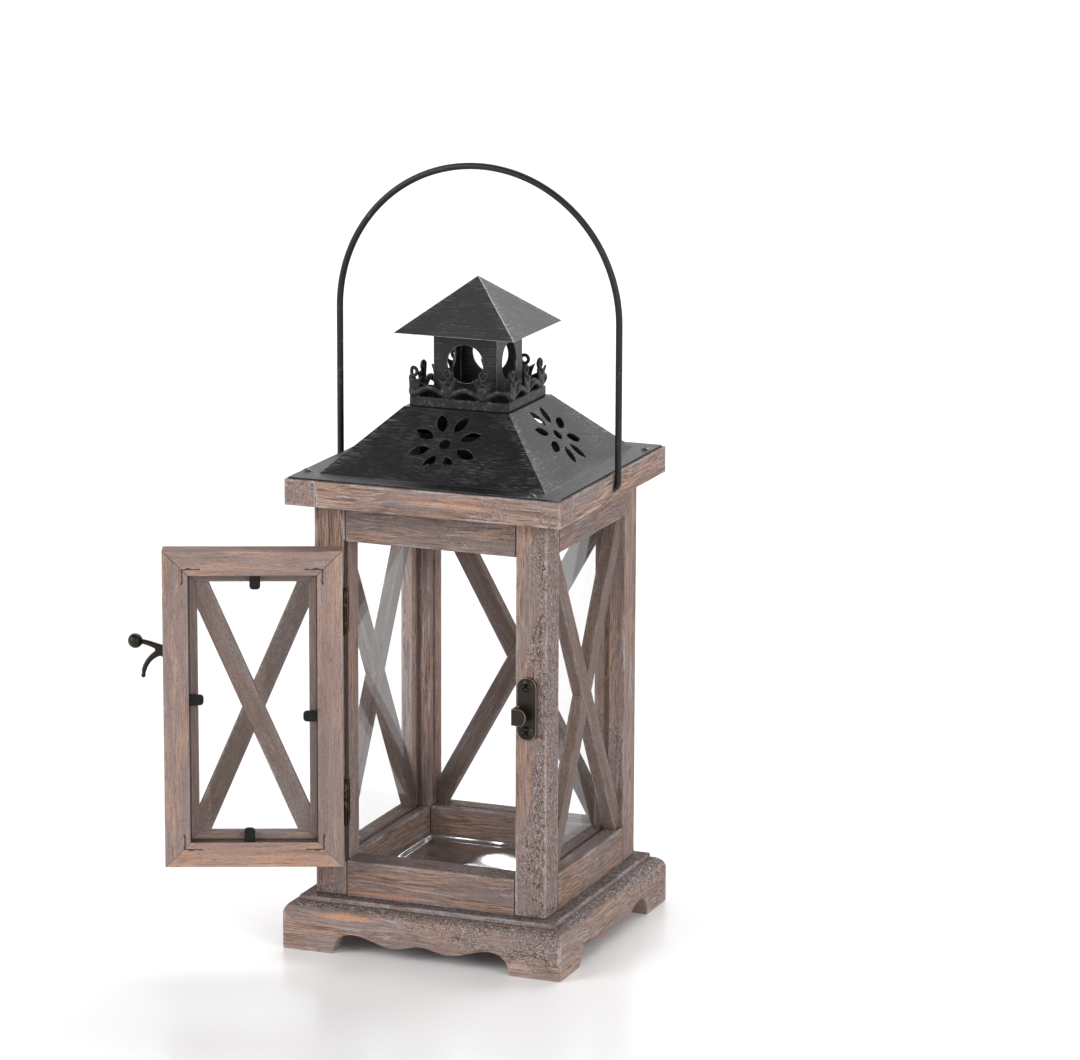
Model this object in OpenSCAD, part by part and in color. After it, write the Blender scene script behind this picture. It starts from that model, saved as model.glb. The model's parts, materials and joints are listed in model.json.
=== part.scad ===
// Hanging candle lantern: a wooden cabinet with glass sides and a hinged door, on a scalloped
// plinth, under a sheet-metal roof with a pierced cupola, and hung from a wire bail.
// Millimetres, +Z up, origin at the centre of the base on the floor, door side towards -Y.

/* [Overall] */
// Width and depth of the plinth on the floor
base_w = 125; // [100:1:155]
// Height from the floor to the tip of the cupola
lantern_h = 280; // [230:1:340]

/* [Plinth] */
// Height of the plinth boards
plinth_h = 20.3; // [16:0.1:30]
// Thickness of the plinth boards
plinth_t = 8; // [6:0.5:14]
// Radius of the rounded top edge of the plinth boards
plinth_round_r = 5.4; // [2:0.1:7]
// Length of each foot along the floor
foot_l = 22.5; // [14:0.5:28]
// Radius of the arch beside each foot
arch_r = 9; // [5:0.5:12]
// Distance of each hanging lobe from the middle of the board
lobe_x = 12; // [8:0.5:14]
// Height of the lowest point of the lobes above the floor
lobe_z = 5.2; // [3:0.1:8]
// Height of the small crest between the two lobes
crest_z = 7.3; // [5:0.1:9]
// Thickness of the base panel that lies on the plinth
panel_t = 2.1; // [1.5:0.1:6]
// Width of the base panel that shows around the cabinet
panel_reveal = 5.5; // [2:0.1:8]

/* [Cabinet] */
// Width of the square corner posts
post_w = 13.5; // [10:0.1:18]
// Height of the rails between the posts
rail_h = 15.5; // [10:0.1:20]
// Width of the crossed slats
slat_w = 8.5; // [5:0.1:12]
// Thickness of the crossed slats
slat_t = 5; // [3:0.1:6]
// Depth of the slats behind the outer face
slat_in = 2; // [1:0.1:4]
// Thickness of the glass panes
glass_t = 2; // [1.5:0.1:3]
// Depth of the outer glass surface behind the outer face
glass_in = 7.3; // [7:0.1:9]
// Depth that the panes reach into the posts and rails
glass_bite = 2.2; // [1.5:0.1:4]
// Play of the panes in their grooves, on each side
groove_play = 0.1; // [0.05:0.05:0.3]
// Height of the metal floor tray's rim
tray_rim_h = 3; // [1.5:0.5:8]
// Thickness of the metal floor tray
tray_t = 0.6; // [0.4:0.1:1.5]
// Play around the floor tray
tray_play = 0.3; // [0.1:0.1:1]

/* [Top frame] */
// Thickness of the top frame boards
top_t = 10.9; // [8:0.1:16]
// Width of the top frame boards
top_board_w = 14; // [12:0.5:20]
// Overhang of the top frame over the cabinet
top_overhang = 9.3; // [4:0.1:12]

/* [Metal roof] */
// Thickness of the roof sheet
sheet_t = 0.8; // [0.5:0.1:1.5]
// Distance of the roof flange from the edge of the top frame
flange_in = 1.3; // [0.5:0.1:4]
// Distance of the foot of the slopes from the edge of the top frame
slope_in = 10.7; // [8:0.1:14]
// Height of the slopes
roof_rise = 25.6; // [20:0.1:36]
// Width of the flat deck at the top of the slopes
deck_w = 47; // [40:0.5:56]
// Gap between the foot of a slope and its flower
flower_foot_gap = 4.4; // [2:0.1:6]
// Gap between the head of a slope and its flower
flower_head_gap = 1.4; // [1:0.1:4]
// Distance of each petal's inner tip from the flower's centre
petal_root_r = 6.3; // [5:0.1:8]
// Width of a petal
petal_w = 4.7; // [3:0.1:5.5]
// Number of petals
petal_count = 8; // [6:1:10]
// Diameter of the hole in the middle of the flower
flower_eye_d = 5; // [3:0.1:7]

/* [Cupola] */
// Width of the cupola's tower
tower_w = 28.2; // [24:0.1:32]
// Height of the tower from the deck to the eaves
tower_h = 31; // [26:0.5:40]
// Diameter of the round windows
window_d = 16; // [10:0.5:20]
// Height of the window centres above the deck
window_z = 17.7; // [15:0.1:22]
// Width of the cupola's roof at the eaves
cupola_w = 54; // [46:0.5:64]
// Height of the cupola's roof
cupola_rise = 21.7; // [16:0.1:32]

/* [Gallery] */
// Width of the gallery that stands around the deck
gallery_w = 45.4; // [40:0.1:46.5]
// Thickness of the gallery
gallery_t = 1.4; // [1:0.1:2.5]
// Height of the gallery's base band
band_h = 4.2; // [3:0.1:6]
// Width of the winding stem
stem_w = 2.4; // [1.6:0.1:3]
// Number of tulips around the gallery
tulip_count = 11; // [9:1:13]
// Height of the tulips' leaf tips above the deck
tulip_h = 13.4; // [11:0.1:16]
// Distance between the two leaf tips of a tulip
tulip_w = 9.2; // [6:0.1:10]
// Depth of the notch between the two leaf tips
tulip_notch = 0.9; // [0.5:0.1:2]
// Outer diameter of the ring on each tulip
ring_d = 5.4; // [4:0.1:7]
// Hole diameter of the ring on each tulip
ring_hole_d = 2.2; // [1.2:0.1:3]

/* [Door] */
// Angle that the door stands open
door_open = 157; // [0:1:160]
// Thickness of the door
door_t = 10; // [8:0.1:12]
// Width of the door's frame members
door_member_w = 14; // [11:0.1:18]
// Width of the rebate that holds the door's pane
rebate_w = 3.5; // [2.5:0.1:5]
// Depth of that rebate
rebate_d = 5; // [4:0.1:6]
// Gap between the hinge stile and its post
hinge_gap = 1; // [0.6:0.1:2]
// Gap above and below the door
door_gap = 1; // [0.5:0.1:2]
// Room between the swinging door's edge and the latch post
swing_room = 0.3; // [0.2:0.1:1]
// Length of a glass clip
clip_l = 6; // [4:0.1:8]
// Width of a glass clip
clip_w = 4.5; // [3:0.1:6]
// Thickness of a glass clip
clip_t = 1.5; // [1:0.1:2.5]

/* [Hinges] */
// Height of a hinge
hinge_h = 19.5; // [16:0.5:30]
// Radius of the hinge barrel
barrel_r = 1.4; // [1.2:0.1:1.6]
// Radius of the hinge pin
pin_r = 0.7; // [0.5:0.05:0.9]
// Running clearance of the pin in the door's knuckle
pin_play = 0.05; // [0.02:0.01:0.1]
// Thickness of the hinge leaves
leaf_t = 0.6; // [0.4:0.1:1]
// Width of the hinge leaves
leaf_w = 4.6; // [4:0.1:9]
// Distance from the door's top to the middle of the upper hinge
upper_hinge_in = 28.5; // [20:0.5:40]
// Distance from the door's foot to the middle of the lower hinge
lower_hinge_in = 24.6; // [18:0.5:40]

/* [Latch] */
// Distance of the lever's pivot from the door's free edge
latch_in = 6.6; // [5:0.1:9]
// Height of the lever's pivot above the middle of the cabinet
latch_up = 14.1; // [5:0.1:30]
// Angle that the lever turns down to lock
latch_turn = 36.7; // [30:0.1:45]
// Thickness of the lever
lever_t = 1.9; // [1.4:0.1:2.2]
// Diameter of the lever's ball
ball_d = 6.3; // [5:0.1:7]
// Radius of the lever's pivot rivet
rivet_r = 1.2; // [0.8:0.1:2]
// Thickness of the latch and catch plates
plate_t = 1.6; // [1:0.1:2]
// Width of the latch and catch plates
plate_w = 8.5; // [7:0.1:10]
// Length of the catch plate
catch_l = 26.5; // [24:0.5:34]
// Length of the latch plate on the door
latch_l = 22; // [20:0.5:30]
// Distance between the two screws of the catch plate
catch_screw_gap = 19.7; // [18:0.1:26]

/* [Handle] */
// Diameter of the bail's wire
wire_d = 2.8; // [2:0.1:4]
// Gap between the bail's legs and the top frame
bail_gap = 0.3; // [0.2:0.1:2]
// Height of the bail from its pivots to the middle of the wire at the top
bail_rise = 131; // [100:0.5:180]
// Height of the pivots above the underside of the top frame
pivot_up = 4.5; // [3:0.1:8]
// Length of the wire ends in the top frame
wire_end_l = 8; // [5:0.5:11]
// Running clearance of the wire ends in their holes
wire_play = 0.05; // [0.02:0.01:0.1]
// Lean of the bail towards the door side
bail_lean = 0; // [-10:1:10]

/* [Screws] */
// Head diameter of the roof screws
roof_screw_head_d = 4.2; // [3:0.1:6]
// Head height of the roof screws
roof_screw_head_h = 1.3; // [0.8:0.1:2]
// Head diameter of the latch and catch screws
latch_screw_head_d = 5.4; // [4:0.1:6]
// Head height of the latch and catch screws
latch_screw_head_h = 1.1; // [0.8:0.1:2]
// Head diameter of the hinge screws
hinge_screw_head_d = 2.2; // [2:0.1:3]

/* [Hidden] */
$fn = 48;
// Overlap that makes a cut pass a face
cut = 1;

wood = [0.50, 0.43, 0.40];
door_wood = [0.56, 0.45, 0.39];
sheet_black = [0.17, 0.17, 0.17];
brass = [0.72, 0.57, 0.30];
bronze = [0.22, 0.20, 0.17];
steel = [0.75, 0.76, 0.77];
pane = [0.85, 0.90, 0.92, 0.35];

// Widths, from the floor up
panel_w = base_w - 2 * plinth_round_r;
body_w = panel_w - 2 * panel_reveal;
top_w = body_w + 2 * top_overhang;
flange_w = top_w - 2 * flange_in;
slope_w = top_w - 2 * slope_in;
open_w = body_w - 2 * post_w;

// Heights, from the floor up
body_h = lantern_h - plinth_h - panel_t - top_t - sheet_t - roof_rise - tower_h - cupola_rise;
body_z = plinth_h + panel_t;
top_z = body_z + body_h;
flange_z = top_z + top_t;
slope_z = flange_z + sheet_t;
notch_l = slat_w * 3;
deck_z = slope_z + roof_rise;
eaves_z = deck_z + tower_h;
open_z = body_z + rail_h;
open_h = body_h - 2 * rail_h;
body_mid_z = body_z + body_h / 2;

// Hinge line and door, with the door shut
barrel_stand_off = 1.7;
hinge_x = -open_w / 2 + hinge_gap / 2;
hinge_y = -body_w / 2 - barrel_stand_off;
door_x0 = hinge_x + hinge_gap / 2;
door_back_y = -body_w / 2 + door_t;
post_reach = open_w / 2 - hinge_x - swing_room;
door_reach = sqrt(pow(post_reach, 2) - pow(door_back_y - hinge_y, 2));
door_x1 = hinge_x + door_reach;
door_w = door_x1 - door_x0;
door_z0 = open_z + door_gap;
door_h = open_h - 2 * door_gap;
door_mid = [(door_x0 + door_x1) / 2, door_z0 + door_h / 2];
lip_w = door_member_w - rebate_w;
sight_w = door_w - 2 * door_member_w;
sight_h = door_h - 2 * door_member_w;
upper_hinge_z = door_z0 + door_h - upper_hinge_in;
lower_hinge_z = door_z0 + lower_hinge_in;
knuckle_gap = 0.2;
knuckle_h = hinge_h / 3;
leaf_screw_gap = 10.9;
leaf_screw_in = leaf_w * 0.55;
leaf_screw_y = -body_w / 2 + leaf_screw_in;
door_slat_in = 1;
door_slat_t = door_t - rebate_d - door_slat_in;

// How far the glass clips are off the middle of the pane's foot, head, left and right edge
clip_shift = [2, -1, -3, 4];

// Latch lever, measured from its pivot with the door shut, in X and Z
lever_tip = [15.4, -2.6];
lever_ball = [18.6, 11.9];
lever_fork = [8.6, 8.5];
finger_mid = [4.65, -2.84];
finger_r = norm(lever_tip - finger_mid);
finger_w = 2;
lever_hub_r = 3.2;
lever_neck_w = 3.6;
lever_fork_r = 2.4;
lever_arm_w = 2.4;
lever_play = 0.05;
lever_clear = 0.3;
lever_gap = latch_screw_head_h + lever_clear;
boss_r = 2.6;
rivet_head_h = 0.8;
ball_out = 1.1;
pivot = [door_x1 - latch_in, body_mid_z + latch_up];
lever_y = -body_w / 2 - plate_t - lever_gap - lever_t / 2;
tip_r = norm(lever_tip);
tip_a = atan2(lever_tip[1], lever_tip[0]) - latch_turn;
hook_at = pivot + tip_r * [cos(tip_a), sin(tip_a)];
catch_off = [2.4, 2.7];
catch_at = hook_at + catch_off;
hook_gap = lever_gap + lever_t + lever_clear;
hook_wall = 1.4;
hook_h = 7;
tongue_r = hook_h * 0.56;
tongue_out = 0.6;
tongue_l = 5.95;
latch_screw_gap = 15.4;
catch_screw_l = 9;
latch_screw_l = 5;

// Cupola slopes
roof_run = (slope_w - deck_w) / 2;
slope_a = atan2(roof_rise, roof_run);
slope_l = norm([roof_run, roof_rise]);
flower_r = (slope_l - flower_foot_gap - flower_head_gap) / 2;
cupola_a = atan2(cupola_rise, cupola_w / 2);
tower_tube_h = tower_h + (cupola_w - tower_w) / 2 * tan(cupola_a) - sheet_t / cos(cupola_a);
tulip_pitch = 4 * gallery_w / tulip_count;
tulip_start = 1.5;
tulip_foot_w = 2.8;
tulip_waist_w = 3.4;
tulip_waist_h = 3;
ring_sink = 0.6;
stem_up = 2.9;
stem_wave = 1.6;

// Bail
bail_x = top_w / 2 + bail_gap + wire_d / 2;
pivot_z = top_z + pivot_up;
bail_leg_h = bail_rise - bail_x;
wire_end_gap = 0.5;

// Roof screws sit near the ends of the top boards
roof_screw_end_in = 13.9;
roof_screw_edge_in = 3.9;
roof_screw_r = 1.1;
roof_screw_l = 9;
small_screw_r = 0.6;
latch_screw_r = 1.2;
hinge_screw_l = 6;

// Turns a piece drawn for the front side to side k: 0 front, 1 right, 2 rear, 3 left
module side(k) {
    rotate([0, 0, 90 * k]) children();
}

// Draws a flat outline, given in X and Z, as a slab from y0 to y0 + t
module upright(y0, t) {
    translate([0, y0 + t, 0]) rotate([90, 0, 0]) linear_extrude(t) children();
}

// Turns a piece drawn with the door shut to the door's open position
module on_door() {
    translate([hinge_x, hinge_y, 0])
        rotate([0, 0, -door_open])
            translate([-hinge_x, -hinge_y, 0]) children();
}

// Height of the scalloped lower edge of a plinth board at distance x from its middle
function scallop_z(x) =
    let (a = abs(x), top_x = base_w / 2 - foot_l - arch_r)
    a < lobe_x ? lobe_z + (crest_z - lobe_z) * (1 + cos(180 * a / lobe_x)) / 2
    : a < top_x ? lobe_z + (arch_r - lobe_z) * (1 - cos(180 * (a - lobe_x) / (top_x - lobe_x))) / 2
    : sqrt(max(0, pow(arch_r, 2) - pow(a - top_x, 2)));

module plinth_board(k) {
    h = base_w / 2;
    foot_x = h - foot_l;
    steps = 56;
    color(wood) side(k) intersection() {
        upright(-h, plinth_t) polygon(concat(
            [[h, 0], [h, plinth_h], [-h, plinth_h], [-h, 0]],
            [for (i = [0 : steps]) let (x = -foot_x + 2 * foot_x * i / steps) [x, scallop_z(x)]]));
        translate([-h, 0, 0]) rotate([90, 0, 90]) linear_extrude(base_w) union() {
            translate([-h, 0]) square([plinth_t, plinth_h - plinth_round_r]);
            translate([-h + plinth_round_r, 0]) square([plinth_t - plinth_round_r, plinth_h]);
            translate([-h + plinth_round_r, plinth_h - plinth_round_r]) circle(plinth_round_r);
        }
        linear_extrude(plinth_h)
            polygon([[-h, -h], [h, -h], [h - plinth_t, plinth_t - h], [plinth_t - h, plinth_t - h]]);
    }
}

module base_panel() {
    color(wood) translate([-panel_w / 2, -panel_w / 2, plinth_h]) cube([panel_w, panel_w, panel_t]);
}

module floor_tray() {
    w = open_w - 2 * tray_play;
    color(steel) translate([-w / 2, -w / 2, body_z]) difference() {
        cube([w, w, tray_rim_h]);
        translate([tray_t, tray_t, tray_t]) cube([w - 2 * tray_t, w - 2 * tray_t, tray_rim_h]);
    }
}

// Slot for a pane, drawn for the front side, with room all round the pane
module pane_slot() {
    translate([
        -open_w / 2 - glass_bite - groove_play,
        -body_w / 2 + glass_in - groove_play,
        open_z - glass_bite - groove_play
    ]) cube([
        open_w + 2 * (glass_bite + groove_play),
        glass_t + 2 * groove_play,
        open_h + 2 * (glass_bite + groove_play)
    ]);
}

// Corner post at the left end of side k
module post(k) {
    color(wood) difference() {
        side(k) translate([-body_w / 2, -body_w / 2, body_z]) cube([post_w, post_w, body_h]);
        for (i = [1 : 3]) side(i) pane_slot();
        if (k == 0) hinge_mortises();
        if (k == 1) catch_screw_holes();
    }
}

module rail(k, z) {
    color(wood) difference() {
        side(k) translate([-open_w / 2, -body_w / 2, z]) cube([open_w, post_w, rail_h]);
        for (i = [1 : 3]) side(i) pane_slot();
    }
}

module bottom_rail(k) {
    rail(k, body_z);
}

module top_rail(k) {
    rail(k, top_z - rail_h);
}

module glass_pane(k) {
    color(pane) side(k)
        translate([-open_w / 2 - glass_bite, -body_w / 2 + glass_in, open_z - glass_bite])
            cube([open_w + 2 * glass_bite, glass_t, open_h + 2 * glass_bite]);
}

// Slat outline across a w by h opening about its middle, rising to the right when dir is 1
module slat_outline(w, h, dir) {
    l = norm([w, h]);
    intersection() {
        square([w, h], center = true);
        rotate(dir * atan2(h, w)) square([l + slat_w, slat_w], center = true);
    }
}

module short_slat_outlines(w, h, dir) {
    difference() {
        slat_outline(w, h, -dir);
        rotate(dir * atan2(h, w)) square([notch_l, slat_w], center = true);
    }
}

module long_slat(k) {
    color(wood) side(k) translate([0, 0, open_z + open_h / 2])
        upright(-body_w / 2 + slat_in, slat_t) slat_outline(open_w, open_h, -1);
}

module short_slats(k) {
    color(wood) side(k) translate([0, 0, open_z + open_h / 2])
        upright(-body_w / 2 + slat_in, slat_t) short_slat_outlines(open_w, open_h, -1);
}

// Top frame board of side k; each board butts against the next one
module top_board(k) {
    color(wood) difference() {
        side(k) translate([-top_w / 2 + top_board_w, -top_w / 2, top_z])
            cube([top_w - top_board_w, top_board_w, top_t]);
        bail_holes();
        roof_screw_holes();
    }
}

module bail_holes() {
    for (s = [-1, 1]) translate([s * (top_w / 2 - wire_end_l - cut), 0, pivot_z])
        rotate([0, s * 90, 0]) cylinder(h = wire_end_l + 2 * cut, r = wire_d / 2 + wire_play);
}

// Places children at the four roof screws, on top of the flange
module at_roof_screws() {
    for (k = [0 : 3]) side(k) translate([
        top_w / 2 - roof_screw_end_in, -top_w / 2 + roof_screw_edge_in, slope_z
    ]) children();
}

module roof_screw_holes() {
    at_roof_screws() translate([0, 0, -roof_screw_l])
        cylinder(h = roof_screw_l + cut, r = roof_screw_r);
}

// Cross-head screw that points down from z = 0, with a domed head above
module pan_screw(head_d, head_h, shank_r, l) {
    dome_r = (pow(head_d / 2, 2) + pow(head_h, 2)) / (2 * head_h);
    cross_l = 0.55 * head_d;
    cross_w = 0.16 * head_d;
    difference() {
        union() {
            translate([0, 0, -l]) cylinder(h = l, r = shank_r);
            rotate_extrude() intersection() {
                translate([0, head_h - dome_r]) circle(dome_r);
                square([head_d / 2, head_h]);
            }
        }
        for (a = [0, 90]) rotate(a) translate([0, 0, head_h])
            cube([cross_l, cross_w, head_h], center = true);
    }
}

module roof_screws() {
    color(sheet_black) at_roof_screws()
        pan_screw(roof_screw_head_d, roof_screw_head_h, roof_screw_r, roof_screw_l);
}

// Lens-shaped petal that points along Y, from r0 to r1
module petal(r0, r1) {
    l = r1 - r0;
    arc_r = (pow(l, 2) / 4 + pow(petal_w, 2) / 4) / petal_w;
    intersection_for (s = [-1, 1])
        translate([s * (arc_r - petal_w / 2), (r0 + r1) / 2]) circle(arc_r);
}

module flower() {
    circle(flower_eye_d / 2);
    for (i = [0 : petal_count - 1]) rotate(360 * (i + 0.5) / petal_count)
        petal(petal_root_r, flower_r);
}

// Solid under four slopes that rise at angle a from a square of width w at height z, moved in
// by inset and cut level at z0 and z1
module under_slopes(w, z, a, inset, z0, z1) {
    big = 4 * w;
    intersection() {
        translate([-big / 2, -big / 2, z0]) cube([big, big, z1 - z0]);
        intersection_for (k = [0 : 3]) side(k) translate([0, -w / 2, z]) rotate([a, 0, 0])
            translate([-big / 2, -big / 2, -big - inset]) cube([big, big, big]);
    }
}

// Cuts a flat outline, drawn across and up the front slope, through the roof's sheet
module through_slope() {
    translate([0, -slope_w / 2, slope_z]) rotate([slope_a, 0, 0])
        translate([0, 0, -2 * sheet_t]) linear_extrude(3 * sheet_t) children();
}

module metal_roof() {
    vent_w = tower_w - 2 * sheet_t;
    color(sheet_black) difference() {
        union() {
            translate([-flange_w / 2, -flange_w / 2, flange_z]) cube([flange_w, flange_w, sheet_t]);
            under_slopes(slope_w, slope_z, slope_a, 0, slope_z - sheet_t / 2, deck_z);
        }
        under_slopes(slope_w, slope_z, slope_a, sheet_t, flange_z - cut, deck_z - sheet_t);
        translate([-vent_w / 2, -vent_w / 2, deck_z - 2 * sheet_t]) cube([vent_w, vent_w, 4 * sheet_t]);
        for (k = [0 : 3]) side(k) through_slope()
            translate([0, flower_foot_gap + flower_r]) flower();
        roof_screw_holes();
    }
}

module cupola_tower() {
    color(sheet_black) translate([0, 0, deck_z]) difference() {
        linear_extrude(tower_tube_h) difference() {
            square(tower_w, center = true);
            square(tower_w - 2 * sheet_t, center = true);
        }
        for (k = [0, 1]) side(k) translate([0, tower_w, window_z]) rotate([90, 0, 0])
            cylinder(h = 2 * tower_w, r = window_d / 2);
    }
}

module cupola_roof() {
    color(sheet_black) difference() {
        under_slopes(cupola_w, eaves_z, cupola_a, 0, eaves_z, lantern_h);
        under_slopes(cupola_w, eaves_z, cupola_a, sheet_t, eaves_z - cut, lantern_h);
    }
}

// Height of the middle of the winding stem at distance u along the gallery
function stem_z(u) =
    band_h + stem_up - stem_wave * cos(360 * (u - tulip_start) / tulip_pitch);

// Outline of one tulip with its ring, standing on the gallery's band
module tulip() {
    notch_z = tulip_h - tulip_notch;
    ring_z = notch_z - ring_sink + ring_d / 2;
    waist_z = band_h + tulip_waist_h;
    difference() {
        union() {
            polygon([
                [-tulip_foot_w / 2, 0], [-tulip_waist_w / 2, waist_z], [-tulip_w / 2, tulip_h],
                [-tulip_w / 4, notch_z], [tulip_w / 4, notch_z],
                [tulip_w / 2, tulip_h], [tulip_waist_w / 2, waist_z], [tulip_foot_w / 2, 0]
            ]);
            translate([0, ring_z]) circle(ring_d / 2);
        }
        translate([0, ring_z]) circle(ring_hole_d / 2);
    }
}

// Gallery outline of side k, cut out of one pattern that runs round all four sides
module gallery_outline(k) {
    steps = 30;
    u0 = k * gallery_w;
    us = [for (i = [0 : steps]) u0 + gallery_w * i / steps];
    translate([-gallery_w / 2 - u0, 0]) intersection() {
        translate([u0, 0]) square([gallery_w, 2 * tulip_h]);
        union() {
            translate([u0, 0]) square([gallery_w, band_h]);
            polygon(concat(
                [for (u = us) [u, stem_z(u) - stem_w / 2]],
                [for (i = [0 : steps]) let (u = us[steps - i]) [u, stem_z(u) + stem_w / 2]]));
            for (i = [-1 : tulip_count]) translate([tulip_start + i * tulip_pitch, 0]) tulip();
        }
    }
}

module roof_gallery() {
    color(sheet_black) translate([0, 0, deck_z])
        for (k = [0 : 3]) side(k) upright(-gallery_w / 2, gallery_t) gallery_outline(k);
}

// Heights of the three knuckles of a hinge: outer ones on the post, middle one on the door
module knuckle(i, z, bore_r) {
    h = knuckle_h - (i == 1 ? 2 * knuckle_gap : 0);
    translate([hinge_x, hinge_y, z - hinge_h / 2 + i * knuckle_h + (i == 1 ? knuckle_gap : 0)])
        difference() {
            union() {
                cylinder(h = h, r = barrel_r);
                neck(i, h);
            }
            translate([0, 0, -cut]) cylinder(h = h + 2 * cut, r = bore_r);
        }
}

// Strip that joins a knuckle to its leaf; s is -1 towards the post and 1 towards the door
module neck(i, h) {
    s = i == 1 ? 1 : -1;
    x = s * (hinge_gap + leaf_t) / 2;
    translate([x - leaf_t / 2, 0, 0]) cube([leaf_t, barrel_stand_off + leaf_t, h]);
}

// Flat part of a leaf: s is -1 for the post and 1 for the door
module leaf_plate(s, z) {
    x = hinge_x + s * (hinge_gap + leaf_t) / 2;
    translate([x - leaf_t / 2, -body_w / 2, z - hinge_h / 2]) cube([leaf_t, leaf_w, hinge_h]);
}

// Countersunk screws of a leaf, driven away from the gap
module leaf_screws(s, z) {
    for (d = [-1, 1])
        translate([hinge_x + s * hinge_gap / 2, leaf_screw_y, z + d * leaf_screw_gap / 2])
            rotate([0, s * 90, 0]) {
                cylinder(h = leaf_t, r1 = hinge_screw_head_d / 2, r2 = small_screw_r);
                cylinder(h = hinge_screw_l, r = small_screw_r);
            }
}

module post_leaf(z) {
    color(brass) difference() {
        union() {
            leaf_plate(-1, z);
            for (i = [0, 2]) knuckle(i, z, pin_r);
        }
        leaf_screws(-1, z);
    }
}

module door_leaf(z) {
    color(brass) on_door() difference() {
        union() {
            leaf_plate(1, z);
            knuckle(1, z, pin_r + pin_play);
        }
        leaf_screws(1, z);
    }
}

module hinge_pin(z) {
    color(brass) translate([hinge_x, hinge_y, z - hinge_h / 2]) cylinder(h = hinge_h, r = pin_r);
}

module post_leaf_screws() {
    color(brass) for (z = [lower_hinge_z, upper_hinge_z]) leaf_screws(-1, z);
}

module door_leaf_screws() {
    color(brass) on_door() for (z = [lower_hinge_z, upper_hinge_z]) leaf_screws(1, z);
}

module hinge_mortises() {
    for (s = [-1, 1], z = [lower_hinge_z, upper_hinge_z]) {
        leaf_plate(s, z);
        leaf_screws(s, z);
    }
}

// Mitred door frame member: side 0 is the bottom, 1 the latch side, 2 the top, 3 the hinge side
module door_member(k) {
    big = door_w + door_h;
    color(door_wood) on_door() difference() {
        intersection() {
            door_ring(-body_w / 2, door_t, door_member_w);
            translate([door_mid[0], 0, door_mid[1]])
                upright(-body_w / 2, door_t) member_wedge(k, big);
        }
        door_ring_hole(-body_w / 2 + door_t - rebate_d, rebate_d + cut, lip_w);
        hinge_mortises();
        latch_screw_holes();
    }
}

// Sector of the door frame that belongs to member k, cut along the mitres
module member_wedge(k, big) {
    w = door_w / 2;
    h = door_h / 2;
    m = min(w, h);
    if (k == 0) polygon([[-w, -h], [w, -h], [w - m, m - h], [m - w, m - h]]);
    if (k == 2) polygon([[-w, h], [w, h], [w - m, h - m], [m - w, h - m]]);
    if (k == 1) polygon([[w, -h], [w, h], [w - m, h - m], [w - m, m - h]]);
    if (k == 3) polygon([[-w, -h], [-w, h], [m - w, h - m], [m - w, m - h]]);
}

module door_ring_hole(y, t, member) {
    translate([door_x0 + member, y, door_z0 + member])
        cube([door_w - 2 * member, t, door_h - 2 * member]);
}

module door_ring(y, t, member) {
    difference() {
        translate([door_x0, y, door_z0]) cube([door_w, t, door_h]);
        translate([0, -cut, 0]) door_ring_hole(y, t + 2 * cut, member);
    }
}

module door_long_slat() {
    color(door_wood) on_door() translate([door_mid[0], 0, door_mid[1]])
        upright(-body_w / 2 + door_slat_in, door_slat_t) slat_outline(sight_w, sight_h, 1);
}

module door_short_slats() {
    color(door_wood) on_door() translate([door_mid[0], 0, door_mid[1]])
        upright(-body_w / 2 + door_slat_in, door_slat_t) short_slat_outlines(sight_w, sight_h, 1);
}

module door_glass() {
    w = door_w - 2 * lip_w - 2 * groove_play;
    h = door_h - 2 * lip_w - 2 * groove_play;
    color(pane) on_door() translate([door_mid[0] - w / 2, door_back_y - rebate_d, door_mid[1] - h / 2])
        cube([w, glass_t, h]);
}

// Clip drawn at the foot of the pane, pointing up
module glass_clip() {
    y = door_back_y - rebate_d + glass_t;
    upright(y, clip_t) {
        translate([-clip_w / 2, 0]) square([clip_w, clip_l - clip_w / 3]);
        translate([-clip_w / 6, 0]) square([clip_w / 3, clip_l]);
        for (s = [-1, 1]) translate([s * clip_w / 6, clip_l - clip_w / 3]) circle(clip_w / 3);
    }
}

module glass_clips() {
    pane_w = door_w - 2 * lip_w;
    pane_h = door_h - 2 * lip_w;
    color("#151515") on_door() translate([door_mid[0], 0, door_mid[1]]) {
        translate([clip_shift[0], 0, -pane_h / 2]) glass_clip();
        translate([clip_shift[1], 0, pane_h / 2]) mirror([0, 0, 1]) glass_clip();
        translate([-pane_w / 2, 0, clip_shift[2]]) rotate([0, 90, 0]) glass_clip();
        translate([pane_w / 2, 0, clip_shift[3]]) rotate([0, -90, 0]) glass_clip();
    }
}

// Plate with round ends, its long side upright, about (0, 0)
module round_plate(l, w) {
    square([w, l - w], center = true);
    for (s = [-1, 1]) translate([0, s * (l - w) / 2]) circle(w / 2);
}

module screws_on_face(at, gap, l) {
    for (s = [-1, 1]) translate([at[0], -body_w / 2 - plate_t, at[1] + s * gap / 2])
        rotate([90, 0, 0]) pan_screw(latch_screw_head_d, latch_screw_head_h, latch_screw_r, l);
}

module screw_holes_on_face(at, gap, l) {
    for (s = [-1, 1]) translate([at[0], -body_w / 2 - plate_t - cut, at[1] + s * gap / 2])
        rotate([-90, 0, 0]) cylinder(h = l + cut, r = latch_screw_r);
}

module catch_screw_holes() {
    screw_holes_on_face(catch_at, catch_screw_gap, catch_screw_l);
}

module latch_screw_holes() {
    screw_holes_on_face(pivot, latch_screw_gap, latch_screw_l);
}

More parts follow.
